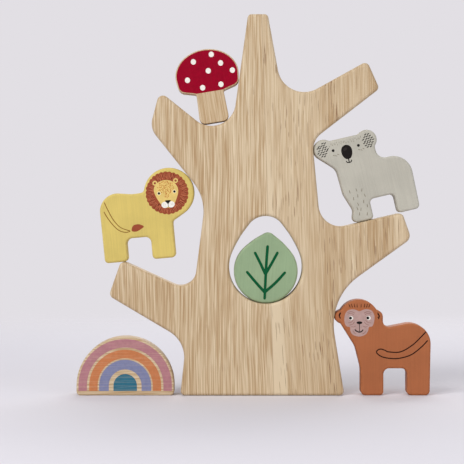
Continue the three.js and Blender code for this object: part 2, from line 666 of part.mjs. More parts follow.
// Koala: stands square on the lower right branch, as near the trunk as its ear allows
const slope = new THREE.Vector2(
  LOWER_RIGHT_TIP[0] - LOWER_RIGHT_FORK[0],
  LOWER_RIGHT_TIP[1] - LOWER_RIGHT_FORK[1],
);
const koala = koalaOutline();
const ears = koala.filter((point) => point.y > KOALA_BACK);
const onSlope = (along) => ({
  x: LOWER_RIGHT_FORK[0] + along * slope.x - GAP * Math.sin(slope.angle()),
  z: LOWER_RIGHT_FORK[1] + along * slope.y + GAP * Math.cos(slope.angle()),
  lean: -slope.angle(),
});
addPiece('koala', koala, settle(ears, onSlope, 1.2, 0.2), 0, finish('#b8b2a5', 0.6));

// Monkey: stands on the table with its ear against the trunk
const monkey = monkeyOutline();
const onTable = (x) => ({ x, z: 0, lean: 0 });
addPiece('monkey', monkey, settle(monkey, onTable, TRUNK_FOOT, 0), 0, finish('#aa643e', 0.55));

// Rainbow: stands on the table to the left of the trunk
addPiece('rainbow', rainbowOutline(), onTable(RAINBOW_X), 0, finish('#cdb28c', 0.6));

// Rabbit, hedgehog and crocodile: stand on the table in two rows behind the trunk
const firstRow = TREE_THICKNESS / 2 + ROW_SPACE + PIECE_THICKNESS / 2;
const secondRow = firstRow + PIECE_THICKNESS + ROW_SPACE;
const rabbitX = ROW_LEFT + RABBIT_LENGTH / 2;
const hedgehogX = ROW_LEFT + RABBIT_LENGTH + ROW_NEIGHBOUR + HEDGEHOG_LENGTH / 2;
const crocodileX = ROW_LEFT + CROCODILE_LENGTH / 2;
addPiece('rabbit', rabbitOutline(), onTable(rabbitX), firstRow, finish('#9aa0c0', 0.58));
addPiece('hedgehog', hedgehogOutline(), onTable(hedgehogX), firstRow, finish('#b58c63', 0.58));
addPiece('crocodile', crocodileOutline(), onTable(crocodileX), secondRow, finish('#7e9a5e', 0.58));

export default toy;
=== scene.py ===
"""Looks of a wooden balance tree, and of the leaf, animals, mushroom and rainbow that perch on it.

Lengths are millimetres until a mesh is made. A drawing's x runs right and z up from the middle of the
piece's feet, seen from the front. Every piece keeps its own drawing frame, so that grain and print lean
with it.
"""

import logging
import math
import random
from dataclasses import dataclass
from enum import Enum
from typing import Callable, Iterable, Sequence, Union

import bpy
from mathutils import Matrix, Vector
from mathutils.geometry import convex_hull_2d, tessellate_polygon


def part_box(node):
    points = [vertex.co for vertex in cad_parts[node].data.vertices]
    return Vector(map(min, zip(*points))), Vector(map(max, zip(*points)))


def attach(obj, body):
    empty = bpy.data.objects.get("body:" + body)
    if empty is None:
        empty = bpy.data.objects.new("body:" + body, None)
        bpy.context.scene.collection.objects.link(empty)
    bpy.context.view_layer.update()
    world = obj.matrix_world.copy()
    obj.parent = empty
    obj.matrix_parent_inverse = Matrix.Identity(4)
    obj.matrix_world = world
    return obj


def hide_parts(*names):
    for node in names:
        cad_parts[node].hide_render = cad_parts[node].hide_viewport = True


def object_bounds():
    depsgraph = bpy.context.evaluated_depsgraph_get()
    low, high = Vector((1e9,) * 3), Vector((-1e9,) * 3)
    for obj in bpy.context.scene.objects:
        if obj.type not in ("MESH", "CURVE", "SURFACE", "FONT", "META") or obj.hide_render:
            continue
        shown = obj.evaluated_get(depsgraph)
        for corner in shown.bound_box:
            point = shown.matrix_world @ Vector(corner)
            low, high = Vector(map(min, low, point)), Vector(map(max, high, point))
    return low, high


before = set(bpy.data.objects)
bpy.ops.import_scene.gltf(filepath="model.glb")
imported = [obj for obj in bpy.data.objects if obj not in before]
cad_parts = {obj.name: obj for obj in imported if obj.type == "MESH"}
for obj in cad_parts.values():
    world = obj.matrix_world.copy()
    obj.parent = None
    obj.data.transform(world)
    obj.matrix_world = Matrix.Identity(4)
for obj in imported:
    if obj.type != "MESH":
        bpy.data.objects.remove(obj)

CAD_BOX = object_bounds()
LOG = logging.getLogger("balance_tree")

Point = tuple[float, float]
Polygon = list[Point]
Spot = tuple[float, float, float]
Face = tuple[int, ...]
Colour = tuple[float, float, float, float]

MM = 0.001

# Reading the solids
KEY_DIGITS = 2              # decimals to which two points of a solid agree where they are one
WALL_ROOM = 0.02            # what lies this close to the wall's level is on it
TOUCH = 0.05                # what lies this close to the ground line stands on it
GROUND_SLOPE = 0.5          # steepest side that can be the ground line
TIP = 0.97                  # what lies this share of the farthest point's distance out is the tip

# Cutting the boards
EDGE_STEPS = 7              # facets across a rounded edge
CURVE_STEP = 4.0            # degrees that a smoothed outline turns from point to point
STRAIGHT = 2.0              # a side this many times as long as the next one is straight
PRINT_ROOM = 0.16           # how far a board's faces lie inside the solid's, to leave room for its print

# Printing
INK_RISE = 0.03             # first coat above the face
COAT_RISE = 0.025           # each later coat above the one before
INK_STEP = 0.002            # shapes of one coat lie this far above each other, so that they may cross
INK_STEPS = 8               # number of such steps
INK_ROOT = 0.1              # a coat's lower side below the face
OVAL_POINTS = 14            # fewest points of an oval, and its points for each root of a millimetre
CURVE_BITS = 6              # straight bits between two points of a smooth curve
ARCH_BITS = 40              # straight bits of a half circle
CAP_ANGLES = (45, 90, 135)  # degrees at which the round end of a stroke has its points
TUFT_SHARES = (0.0, 0.3, 0.5, 0.7)  # where on a tuft its points lie
TUFT_DIPS = (1.0, 0.15, 0.0, 0.2)   # how far each of them is cut in, as a share of the notch
TUFT_SHAKE = 0.4            # how far a tuft may fall short, as a share of the notch
TICK_TIP = 0.7              # width of a tick's end, as a share of that at its start


def srgb(red: int, green: int, blue: int) -> Colour:
    """Turns a display colour into the linear one that shaders use.

    Args:
        red: red from 0 to 255.
        green: green from 0 to 255.
        blue: blue from 0 to 255.

    Returns:
        Linear red, green, blue and an alpha of 1.
    """
    def linear(value: int) -> float:
        """Linear light of one display value."""
        share = value / 255
        return share / 12.92 if share <= 0.04045 else ((share + 0.055) / 1.055) ** 2.4
    return linear(red), linear(green), linear(blue), 1.0


# Shapes for printing


def polar(middle: Point, radius: float, angle: float) -> Point:
    """Gives the point at a distance and an angle, in radians, from a middle."""
    return middle[0] + radius * math.cos(angle), middle[1] + radius * math.sin(angle)


def oval(x: float, z: float, half_width: float, half_height: float, turn: float = 0.0) -> Polygon:
    """Draws an ellipse.

    Args:
        x: middle, to the right.
        z: middle, upwards.
        half_width: half its width before it is turned.
        half_height: half its height before it is turned.
        turn: anticlockwise turn in degrees.

    Returns:
        The ellipse's points, anticlockwise.
    """
    count = max(OVAL_POINTS, int(OVAL_POINTS * math.sqrt(max(half_width, half_height))))
    cos, sin = math.cos(math.radians(turn)), math.sin(math.radians(turn))
    points = []
    for i in range(count):
        angle = math.tau * i / count
        across, up = half_width * math.cos(angle), half_height * math.sin(angle)
        points.append((x + across * cos - up * sin, z + across * sin + up * cos))
    return points


def dot(x: float, z: float, radius: float) -> Polygon:
    """Draws a round dot."""
    return oval(x, z, radius, radius)


def between(p: float, q: float, r: float, s: float, t: float) -> float:
    """Gives one coordinate of a smooth curve through four points, at the share t of the way from q to r."""
    pull, swell, twist = r - p, 2 * p - 5 * q + 4 * r - s, 3 * q - p - 3 * r + s
    return 0.5 * (2 * q + pull * t + swell * t ** 2 + twist * t ** 3)


def spline(points: Sequence[Point], closed: bool) -> Polygon:
    """Runs a smooth curve through points.

    Args:
        points: the points that the curve passes.
        closed: whether it comes back to its start.

    Returns:
        Points along the curve.
    """
    count = len(points)
    curve = []
    for i in range(count if closed else count - 1):
        numbers = [i + k if closed else min(max(i + k, 0), count - 1) for k in (-1, 0, 1, 2)]
        near = [points[number % count] for number in numbers]
        for bit in range(CURVE_BITS):
            curve.append(tuple(between(*line, bit / CURVE_BITS) for line in zip(*near)))
    return curve if closed else curve + [points[-1]]


def area(polygon: Sequence[Point]) -> float:
    """Gives a polygon's area, positive where it runs anticlockwise."""
    pairs = zip(polygon, [*polygon[1:], polygon[0]])
    return sum(a[0] * b[1] - b[0] * a[1] for a, b in pairs) / 2


def blob(*points: Point) -> Polygon:
    """Draws a smooth closed patch through points, anticlockwise."""
    patch = spline(points, closed=True)
    return patch if area(patch) > 0 else patch[::-1]


def stroke(points: Sequence[Point], width: float, tip: float = 1.0) -> Polygon:
    """Draws a brush stroke with round ends along a smooth curve.

    Args:
        points: the points that the stroke passes.
        width: its width at the start.
        tip: its width at the end as a share of that at the start.

    Returns:
        The stroke's outline, anticlockwise.
    """
    path = [Vector(point) for point in spline(points, closed=False)]
    right, left = [], []
    for i, spot in enumerate(path):
        along = (path[min(i + 1, len(path) - 1)] - path[max(i - 1, 0)]).normalized()
        half = width / 2 * (1 + (tip - 1) * i / (len(path) - 1))
        side = Vector((along.y, -along.x)) * half
        right.append(tuple(spot + side))
        left.append(tuple(spot - side))
        if i == 0:
            start, start_side = along, side
    end, end_side = along, side
    front, back = [], []
    for a in (math.radians(angle) for angle in CAP_ANGLES):
        front.append(tuple(path[-1] + end_side * math.cos(a) + end * end_side.length * math.sin(a)))
        back.append(tuple(path[0] - start_side * math.cos(a) - start * start_side.length * math.sin(a)))
    return right + front + left[::-1] + back


def arch(outer: float, inner: float, middle: float, foot: float) -> Polygon:
    """Draws a band bent over in a half circle, with straight legs.

    Args:
        outer: outer radius.
        inner: inner radius, 0 for a filled half round.
        middle: height of the half circle's middle.
        foot: height at which the legs end.

    Returns:
        The band's outline, anticlockwise.
    """
    angles = [math.pi * i / ARCH_BITS for i in range(ARCH_BITS + 1)]
    over = [(outer * math.cos(a), middle + outer * math.sin(a)) for a in angles]
    under = [(inner * math.cos(a), middle + inner * math.sin(a)) for a in reversed(angles)]
    legs = [(-inner, foot), *under, (inner, foot)] if inner else []
    return [(outer, foot), *over, (-outer, foot), *legs]


def scalloped(middle: Point, radius: float, depth: float, count: int, chance: random.Random) -> Polygon:
    """Draws a round patch with an uneven, tufted rim.

    Args:
        middle: its middle.
        radius: radius at the tufts' tips.
        depth: how far the notches cut in.
        count: number of tufts.
        chance: the draws that make the tufts uneven.

    Returns:
        The patch's outline, anticlockwise.
    """
    points = []
    for i in range(count):
        tuft = radius - depth * TUFT_SHAKE * chance.random()
        for share, dip in zip(TUFT_SHARES, TUFT_DIPS):
            points.append(polar(middle, tuft - depth * dip, math.tau * (i + share) / count))
    return points


def tick(x: float, z: float, length: float, width: float, angle: float) -> Polygon:
    """Draws a short straight stroke about its middle, turned anticlockwise from the right in degrees."""
    right, up = polar((0.0, 0.0), length / 2, math.radians(angle))
    return stroke([(x - right, z - up), (x + right, z + up)], width, TICK_TIP)


def dots(radius: float, *middles: Point) -> list[Polygon]:
    """Draws round dots of one size."""
    return [dot(x, z, radius) for x, z in middles]


def strokes(lines: Iterable[Sequence[Point]], width: float, tip: float = 1.0) -> list[Polygon]:
    """Draws brush strokes of one width."""
    return [stroke(line, width, tip) for line in lines]


def within(x: float, z: float, middle: Point, half_width: float, half_height: float) -> bool:
    """Tells whether a point lies inside an upright oval."""
    return ((x - middle[0]) / half_width) ** 2 + ((z - middle[1]) / half_height) ** 2 < 1


def evenly(start: float, end: float, count: int) -> list[float]:
    """Lists evenly spaced values from start to end."""
    return [start + (end - start) * i / (count - 1) for i in range(count)]


def grid(xs: Sequence[float], zs: Sequence[float], stagger: float = 0.0) -> list[Point]:
    """Lists the crossings of a grid, with every second row moved sideways by the stagger."""
    return [(x + stagger * (row % 2), z) for row, z in enumerate(zs) for x in xs]


# Shader nodes

Node = bpy.types.Node
Socket = bpy.types.NodeSocket
Feed = Union["Signal", Socket, float, Sequence[float]]
Feeds = dict[str | int, Feed]
Names = Sequence[str]


@dataclass(frozen=True)
class Signal:
    """A value in a node tree that can be reckoned with like a number.

    Attributes:
        board: the tree that it runs in.
        socket: where it comes out.
    """

    board: "Board"
    socket: Socket

    def __add__(self, other: Feed) -> "Signal":
        """Adds a value."""
        return self.board.math("ADD", self, other)

    def __sub__(self, other: Feed) -> "Signal":
        """Takes a value away."""
        return self.board.math("SUBTRACT", self, other)

    def __rsub__(self, other: Feed) -> "Signal":
        """Is taken away from a plain number."""
        return self.board.math("SUBTRACT", other, self)

    def __mul__(self, other: Feed) -> "Signal":
        """Multiplies by a value."""
        return self.board.math("MULTIPLY", self, other)

    def __truediv__(self, other: Feed) -> "Signal":
        """Divides by a value."""
        return self.board.math("DIVIDE", self, other)


class Board:
    """A shader node tree that is being wired."""

    def __init__(self, tree: bpy.types.NodeTree) -> None:
        """Takes the tree to wire."""
        self.tree = tree

    def put(self, target: Socket, value: Feed) -> None:
        """Links a signal or a socket to an input, or sets the input to a plain value.

        Args:
            target: the input.
            value: what it is fed with.
        """
        source = value.socket if isinstance(value, Signal) else value
        if isinstance(source, Socket):
            self.tree.links.new(source, target)
        else:
            target.default_value = source

    def node(self, kind: str, inputs: Feeds | None = None, **settings: object) -> Node:
        """Adds a node.

        Args:
            kind: the node's Blender type.
            inputs: values, signals or sockets by the input's name or number.
            settings: the node's own properties.

        Returns:
            The new node.
        """
        made = self.tree.nodes.new(kind)
        for name, value in settings.items():
            setattr(made, name, value)
        for name, value in (inputs or {}).items():
            self.put(made.inputs[name], value)
        return made

    def signal(self, kind: str, inputs: Feeds | None = None, **settings: object) -> Signal:
        """Adds a node as node does, and gives its first output."""
        return Signal(self, self.node(kind, inputs, **settings).outputs[0])

    def math(self, operation: str, a: Feed, b: Feed = 0.0, clamp: bool = False) -> Signal:
        """Adds a Math node."""
        return self.signal("ShaderNodeMath", {0: a, 1: b}, operation=operation, use_clamp=clamp)

    def ramp(self, value: Feed, low: float, high: float, start: float = 0.0, end: float = 1.0) -> Signal:
        """Maps a value smoothly, to start at low and below and to end at high and above."""
        spans = {"Value": value, "From Min": low, "From Max": high, "To Min": start, "To Max": end}
        return self.signal("ShaderNodeMapRange", spans, interpolation_type="SMOOTHSTEP")

    def mix(self, share: Feed, a: Feed, b: Feed, blend: str = "MIX") -> Signal:
        """Mixes two colours.

        Args:
            share: how much of the second colour goes in.
            a: the first colour.
            b: the second colour.
            blend: Blender's name for the way of mixing.

        Returns:
            The mixed colour.
        """
        made = self.node("ShaderNodeMix", data_type="RGBA", blend_type=blend)
        for number, value in ((0, share), (6, a), (7, b)):
            self.put(made.inputs[number], value)
        return Signal(self, made.outputs[2])

    def grey(self, value: Signal) -> Signal:
        """Turns a value into a grey of that level."""
        return self.signal("ShaderNodeCombineColor", {0: value, 1: value, 2: value})

    def axes(self, vector: Feed) -> list[Signal]:
        """Takes a vector apart."""
        parts = self.node("ShaderNodeSeparateXYZ", {0: vector})
        return [Signal(self, part) for part in parts.outputs]

    def moved(self, vector: Signal, by: Signal) -> Signal:
        """Adds two vectors."""
        return self.signal("ShaderNodeVectorMath", {0: vector, 1: by}, operation="ADD")

    def scaled(self, vector: Feed, x: float, y: float, z: float) -> Signal:
        """Stretches a vector along each axis."""
        return self.signal("ShaderNodeVectorMath", {0: vector, 1: (x, y, z)}, operation="MULTIPLY")

    def noise(self, vector: Signal, scale: float = 1.0, detail: float = 2.0) -> Signal:
        """Adds smooth noise."""
        return self.signal("ShaderNodeTexNoise", {"Vector": vector, "Scale": scale, "Detail": detail})


class Group(Board):
    """A shader node group that takes a Vector and more, and puts out a Color and more."""

    def __init__(self, name: str, colours: Names, values: Names, results: Names) -> None:
        """Makes the group and its sockets.

        Args:
            name: the group's name.
            colours: names of its colour inputs.
            values: names of its value inputs.
            results: names of the values that it puts out beside the Color.
        """
        super().__init__(bpy.data.node_groups.new(name, "ShaderNodeTree"))
        self._sockets("INPUT", "NodeSocketVector", ["Vector"])
        self._sockets("INPUT", "NodeSocketColor", colours)
        self._sockets("INPUT", "NodeSocketFloat", values)
        self._sockets("OUTPUT", "NodeSocketColor", ["Color"])
        self._sockets("OUTPUT", "NodeSocketFloat", results)
        given = self.node("NodeGroupInput").outputs
        self.given = {label: Signal(self, given[label]) for label in ("Vector", *colours, *values)}

    def _sockets(self, way: str, kind: str, names: Names) -> None:
        """Adds sockets of one kind."""
        for name in names:
            self.tree.interface.new_socket(name, in_out=way, socket_type=kind)

    def give(self, values: dict[str, Signal]) -> bpy.types.NodeTree:
        """Wires the outputs and gives the finished group."""
        self.node("NodeGroupOutput", values)
        return self.tree

    def place(self) -> Signal:
        """Gives the group's Vector input in millimetres."""
        return self.scaled(self.given["Vector"], 1 / MM, 1 / MM, 1 / MM)


@dataclass(frozen=True)
class Fibres:
    """One layer of the grain: noise drawn out along the fibres.

    Attributes:
        across: changes per millimetre across the board.
        along: changes per millimetre along the fibres.
        detail: finer octaves.
        span: noise at the layer's darkest and at its lightest.
        shares: part in the figure of a firm strip and of a soft one.
    """

    across: float
    along: float
    detail: float
    span: tuple[float, float]
    shares: tuple[float, float] = (1.0, 1.0)

    LAYER = 0.2     # change of the grain through the board, as a share of that across it

    def drawn(self, board: Board, place: Signal) -> Signal:
        """Adds the layer's noise."""
        stretched = board.scaled(place, self.across, self.across * self.LAYER, self.along)
        return board.ramp(board.noise(stretched, detail=self.detail), *self.span)


class Effects:
    """The shader groups that several finishes share, each built once."""

    FIGURE = (
        Fibres(1.45, 0.034, 0.0, (0.42, 0.58), (0.42, 0.24)),   # threads
        Fibres(2.3, 0.042, 0.0, (0.42, 0.58), (0.36, 0.24)),    # hairs
        Fibres(0.06, 0.004, 2.0, (0.32, 0.68), (0.12, 0.32)),   # broad bands
        Fibres(0.2, 0.012, 2.0, (0.32, 0.68), (0.1, 0.2)),      # streaks
    )
    FIGURE_SPAN = (0.1, 0.9)    # figure of dark and of light grain
    GRAIN_HEIGHT = 0.5          # height of light grain above dark, as a share of a pore's depth
    SIDE_CONTRAST = 0.45        # contrast of the figure on a board's sides, as a share of that on its faces
    SHIFT = (90.0, 40.0, 400.0)     # farthest that a seed moves the grain
    DRIFT = (0.012, 0.012, 0.006)   # changes of the grain's drift per millimetre
    SLOW_DETAIL = 1.0           # finer octaves of the drift and of the pores' patches
    DRIFT_REACH = 8.0           # how far the grain drifts sideways
    SLANT = 8.0                 # how far the grain of a soft strip runs sideways
    SLANT_HEIGHTS = (-60.0, 120.0)  # heights between which it does so

    SEAM_X = 7.5                # glued joint in the trunk, at the foot
    SEAM_LEAN = 0.032           # how far the joint moves left, per height
    SEAM_WIDTH = 0.006          # the joint's dark line, as a share of a strip
    SEAM_BREAKS = 0.02          # changes of its depth per millimetre
    STAVE_WIDTH = 130.0         # one glued strip of wood

    SAPWOOD = (9.5, 3.0)        # width of the pale wood beside the joint, at the foot and higher up
    SAPWOOD_TAPER = 150.0       # height at which it has come down to its upper width
    SAPWOOD_FADE = (130.0, 215.0)   # heights between which it fades away
    SAPWOOD_LEVEL = 0.96        # its figure, which is nearly the lightest wood
    SAPWOOD_COVER = 0.9         # how much of the figure it hides
    SAPWOOD_EDGE = 3.0          # width of its soft edge, and how far that edge wanders

    PORES = Fibres(1.8, 0.07, 0.0, (0.71, 0.75))
    PORE_PATCHES = (0.04, 0.04, 0.02)   # changes of the pores' number per millimetre
    PORE_SPAN = (0.42, 0.6)     # noise at which a patch has none and all of its pores
    PORE_SHARES = (0.35, 1.0)   # pores in a firm strip and in a soft one
    PORE_COLOUR, PORE_COVER = srgb(118, 78, 48), 0.75
    SEAM_COLOUR, SEAM_COVER = srgb(126, 88, 54), 0.8

    MOST = (0.3, 0.7)           # where most of a noise's values lie
    ALL = (0.25, 0.75)          # where nearly all of them lie

    CLOUD = (0.055, 3.0)        # changes of the paint's tone per millimetre, and finer octaves
    CLOUD_TONE = (0.94, 1.03)
    SPECK = (2.4, 2.0)          # the same for the paint's surface
    SPECK_TONE = (-0.015, 0.015)
    SPECK_HEIGHT = 0.45         # height of that surface, as a share of a pore's depth
    GRAIN_TONE = (-0.035, 0.02)     # how far dark and light grain show through the paint
    RUB_AND_HIGHLIGHT_NOISE = (0.32, 4.0)           # changes per millimetre of the edge patches of wear and painted highlight, and finer octaves
    RUB_AND_HIGHLIGHT_SPAN = (0.36, 0.66)     # noise at which an edge patch has neither wear nor painted highlight, and at which it has both
    RUB_DULL = 0.12             # what rubbing adds to the roughness
    PIT_COLOUR, PIT_COVER = srgb(90, 66, 44), 0.12
    PAINT_ROUGHNESS = (0.56, 0.7)

    DENSITY = (0.5, 4.0)        # changes of the ink's density per millimetre, and finer octaves
    DENSITY_TONE = (0.93, 1.06)
    THIN_SPAN = (0.35, 0.95)    # figure at which none and at which most of the wood shows through
    PINHOLES = (2.1, 1.0)       # changes of the ink's pinholes per millimetre, and finer octaves
    PINHOLE_SPAN, PINHOLE_COVER = (0.71, 0.77), 0.3
    INK_SHEEN = (1.3, 2.0)      # the same for the ink's roughness
    INK_ROUGHNESS = (0.44, 0.58)
    INK_SURFACE = (1.8, 2.0)    # the same for the ink's surface

    def __init__(self) -> None:
        """Builds every group."""
        self.grain = self._grain()
        self.paint = self._paint()
        self.print = self._print()

    def _grain(self) -> bpy.types.NodeTree:
        """Builds straight wood grain along z: threads, broad figure, pores, and glued strips.

        Returns:
            The group.
        """
        board = Group("wood_grain", ("Light", "Dark"), ("Seed", "Strips", "Face"), ("Figure", "Pores"))
        place, glued = board.place(), board.given["Strips"]
        x, _, z = board.axes(place)
        strip = (x + z * self.SEAM_LEAN - self.SEAM_X) / self.STAVE_WIDTH
        number = board.math("FLOOR", strip) * glued
        inside = board.math("FRACT", strip)
        # Every second strip is soft
        soft = (1.0 - board.math("FRACT", number * 0.5) * 2.0) * glued
        seed = number + board.given["Seed"]
        draw = board.node("ShaderNodeTexWhiteNoise", {"W": seed}, noise_dimensions="1D")
        moved = board.moved(place, board.scaled(draw.outputs["Color"], *self.SHIFT))
        drift = board.noise(board.scaled(moved, *self.DRIFT), detail=self.SLOW_DETAIL)
        slant = board.ramp(z, *self.SLANT_HEIGHTS, 0.0, self.SLANT) * soft
        bend = board.signal("ShaderNodeCombineXYZ", {0: slant + drift * self.DRIFT_REACH})
        bent = board.moved(moved, bend)
        shares = [board.ramp(soft, 0.0, 1.0, *layer.shares) for layer in self.FIGURE]
        layers = [layer.drawn(board, bent) * share for layer, share in zip(self.FIGURE, shares)]
        calm = board.ramp(board.given["Face"], 0.0, 1.0, self.SIDE_CONTRAST, 1.0)
        figure = (sum(layers[1:], layers[0]) - 0.5) * calm + 0.5
        pale_width = board.ramp(z, 0.0, self.SAPWOOD_TAPER, *self.SAPWOOD)
        wavy = inside * self.STAVE_WIDTH - pale_width + drift * self.SAPWOOD_EDGE
        shown = board.ramp(z, *self.SAPWOOD_FADE, self.SAPWOOD_COVER, 0.0) * soft
        beside = board.ramp(wavy, 0.0, self.SAPWOOD_EDGE, 1.0, 0.0) * shown
        toned = board.math("ADD", figure, (self.SAPWOOD_LEVEL - figure) * beside, clamp=True)
        patchy = board.noise(board.scaled(moved, *self.PORE_PATCHES), detail=self.SLOW_DETAIL)
        patches = board.ramp(patchy, *self.PORE_SPAN)
        pores = self.PORES.drawn(board, bent) * (patches * board.ramp(soft, 0.0, 1.0, *self.PORE_SHARES))
        joint = board.ramp(inside, 0.0, self.SEAM_WIDTH, 1.0, 0.0) * glued
        seam = joint * board.noise(board.scaled(moved, 0.0, 0.0, self.SEAM_BREAKS))
        wood = board.mix(toned, board.given["Dark"], board.given["Light"])
        pored = board.mix(pores * self.PORE_COVER, wood, self.PORE_COLOUR)
        seamed = board.mix(seam * self.SEAM_COVER, pored, self.SEAM_COLOUR)
        return board.give({"Color": seamed, "Figure": toned, "Pores": board.math("MAXIMUM", pores, seam)})

    def _paint(self) -> bpy.types.NodeTree:
        """Builds a coat of paint: cloudy tone, grain that shows faintly, and edge patches of wear with a
        painted highlight.

        Returns:
            The group.
        """
        values = ("Figure", "Pores", "Face", "Rub_And_Highlight")
        board = Group("paint_coat", ("Paint", "Wear_Highlight"), values, ("Roughness", "Height"))
        place = board.place()
        figure, pores, face, rub_and_highlight = (board.given[label] for label in values)
        cloud = board.noise(place, *self.CLOUD)
        speck = board.noise(place, *self.SPECK)
        tone = board.ramp(cloud, *self.MOST, *self.CLOUD_TONE)
        speckled = tone + board.ramp(speck, *self.MOST, *self.SPECK_TONE)
        through = speckled + board.ramp(figure, *self.FIGURE_SPAN, *self.GRAIN_TONE)
        toned = board.mix(1.0, board.given["Paint"], board.grey(through), "MULTIPLY")
        # 1 halfway round the edge, and 0 on the face and on the side
        bend = face * (1.0 - face) * 4.0
        patchy = board.ramp(board.noise(place, *self.RUB_AND_HIGHLIGHT_NOISE), *self.RUB_AND_HIGHLIGHT_SPAN)
        rubbed_and_lit = board.math("MULTIPLY", bend * patchy, rub_and_highlight, clamp=True)
        # Painted highlight: in patches the rounded edges take a lighter tint of the paint, standing in for
        # light catching them as well as for wear
        worn_and_lit = board.mix(rubbed_and_lit, toned, board.given["Wear_Highlight"])
        pitted = board.mix(pores * self.PIT_COVER, worn_and_lit, self.PIT_COLOUR)
        roughness = board.ramp(speck, *self.ALL, *self.PAINT_ROUGHNESS) + rubbed_and_lit * self.RUB_DULL
        height = figure * self.GRAIN_HEIGHT - pores + speck * self.SPECK_HEIGHT
        return board.give({"Color": pitted, "Roughness": roughness, "Height": height})

    def _print(self) -> bpy.types.NodeTree:
        """Builds a printed coat: uneven density, pinholes, and the grain that shows through it.

        Returns:
            The group.
        """
        board = Group("printed_coat", ("Ink", "Wood"), ("Figure", "Thin"), ("Roughness", "Height"))
        place, wood, thin = board.place(), board.given["Wood"], board.given["Thin"]
        density = board.ramp(board.noise(place, *self.DENSITY), *self.ALL, *self.DENSITY_TONE)
        inked = board.mix(1.0, board.given["Ink"], board.grey(density), "MULTIPLY")
        thinned = board.mix(board.ramp(board.given["Figure"], *self.THIN_SPAN) * thin, inked, wood)
        pricked = board.noise(place, *self.PINHOLES)
        holes = board.ramp(pricked, *self.PINHOLE_SPAN, 0.0, self.PINHOLE_COVER)
        pierced = board.mix(holes * thin, thinned, wood)
        roughness = board.ramp(board.noise(place, *self.INK_SHEEN), *self.MOST, *self.INK_ROUGHNESS)
        height = board.noise(place, *self.INK_SURFACE)
        return board.give({"Color": pierced, "Roughness": roughness, "Height": height})


# Finishes

EFFECTS = Effects()
WOOD_LIGHT = srgb(219, 200, 168)
WOOD_DARK = srgb(171, 139, 99)


class Run(Enum):
    """The way that a board's grain runs."""

    UPRIGHT = "up the drawing"
    LEVEL = "across the drawing"


@dataclass(frozen=True)
class Finish:
    """What every finish on the toy shares: wood grain under a Principled shader.

    Attributes:
        name: the material's name.
        seed: draw of the grain, another for each board.
        run: the way that the grain runs.
        light: wood between the streaks.
        dark: wood in the streaks.
    """

    name: str
    seed: float = 1.0
    run: Run = Run.UPRIGHT
    light: Colour = WOOD_LIGHT
    dark: Colour = WOOD_DARK

    DEPTH = 0.05    # what a height of 1 measures
    GLOSS = 0.2     # the shader's specular level

    def material(self) -> bpy.types.Material:
        """Makes the material, or takes the one made before.

        Returns:
            The material.
        """
        made = bpy.data.materials.get(self.name)
        if made:
            return made
        made = bpy.data.materials.new(self.name)
        made.use_nodes = True
        board = Board(made.node_tree)
        place = Signal(board, board.node("ShaderNodeTexCoord").outputs["Object"])
        if self.run is Run.LEVEL:
            x, y, z = board.axes(place)
            place = board.signal("ShaderNodeCombineXYZ", {0: z, 1: y, 2: x})
        values = {"Vector": place, "Light": self.light, "Dark": self.dark, "Seed": self.seed,
                  "Strips": self.strips(), "Face": self.face(board)}
        self.coat(board, place, board.node("ShaderNodeGroup", values, node_tree=EFFECTS.grain))
        return made

    def strips(self) -> float:
        """Gives 1 for a board glued from strips and 0 for one cut from a single strip."""
        return 0.0

    def face(self, board: Board) -> Feed:
        """Gives a value that is 1 on a board's faces and falls to 0 round its edges."""
        return board.node("ShaderNodeAttribute", attribute_name="face").outputs["Fac"]

    def coat(self, board: Board, place: Signal, grain: Node) -> None:
        """Wires what lies on the grain into the shader.

        Args:
            board: the material's tree.
            place: where on the board, along its grain.
            grain: the placed group of the grain.
        """
        raise NotImplementedError

    def shade(self, board: Board, colour: Feed, roughness: Feed, height: Feed) -> None:
        """Feeds the Principled shader.

        Args:
            board: the material's tree.
            colour: the surface's colour.
            roughness: its roughness.
            height: its height, from 0 to 1.
        """
        shader = board.tree.nodes["Principled BSDF"]
        values = {"Height": height, "Strength": 1.0, "Distance": self.DEPTH * MM}
        board.put(shader.inputs["Base Color"], colour)
        board.put(shader.inputs["Roughness"], roughness)
        board.put(shader.inputs["Specular IOR Level"], self.GLOSS)
        board.put(shader.inputs["Normal"], board.signal("ShaderNodeBump", values))

    def lay(self, board: Board, coat: bpy.types.NodeTree, values: Feeds) -> None:
        """Lays a coat's group over the grain."""
        laid = board.node("ShaderNodeGroup", values, node_tree=coat).outputs
        self.shade(board, laid["Color"], laid["Roughness"], laid["Height"])


@dataclass(frozen=True)
class BareWood(Finish):
    """Sanded wood with no coat.

    Attributes:
        glued: whether the board is glued up from strips.
    """

    glued: bool = False

    ROUGHNESS = (0.66, 0.54)    # in dark and in light grain

    def strips(self) -> float:
        """Gives 1 for a glued board."""
        return float(self.glued)

    def coat(self, board: Board, place: Signal, grain: Node) -> None:
        """Shows the grain itself, duller in the streaks and sunk at the pores.

        Args:
            board: the material's tree.
            place: where on the board, along its grain; not used.
            grain: the placed group of the grain.
        """
        figure = Signal(board, grain.outputs["Figure"])
        roughness = board.ramp(figure, *EFFECTS.FIGURE_SPAN, *self.ROUGHNESS)
        height = figure * EFFECTS.GRAIN_HEIGHT - grain.outputs["Pores"]
        self.shade(board, grain.outputs["Color"], roughness, height)


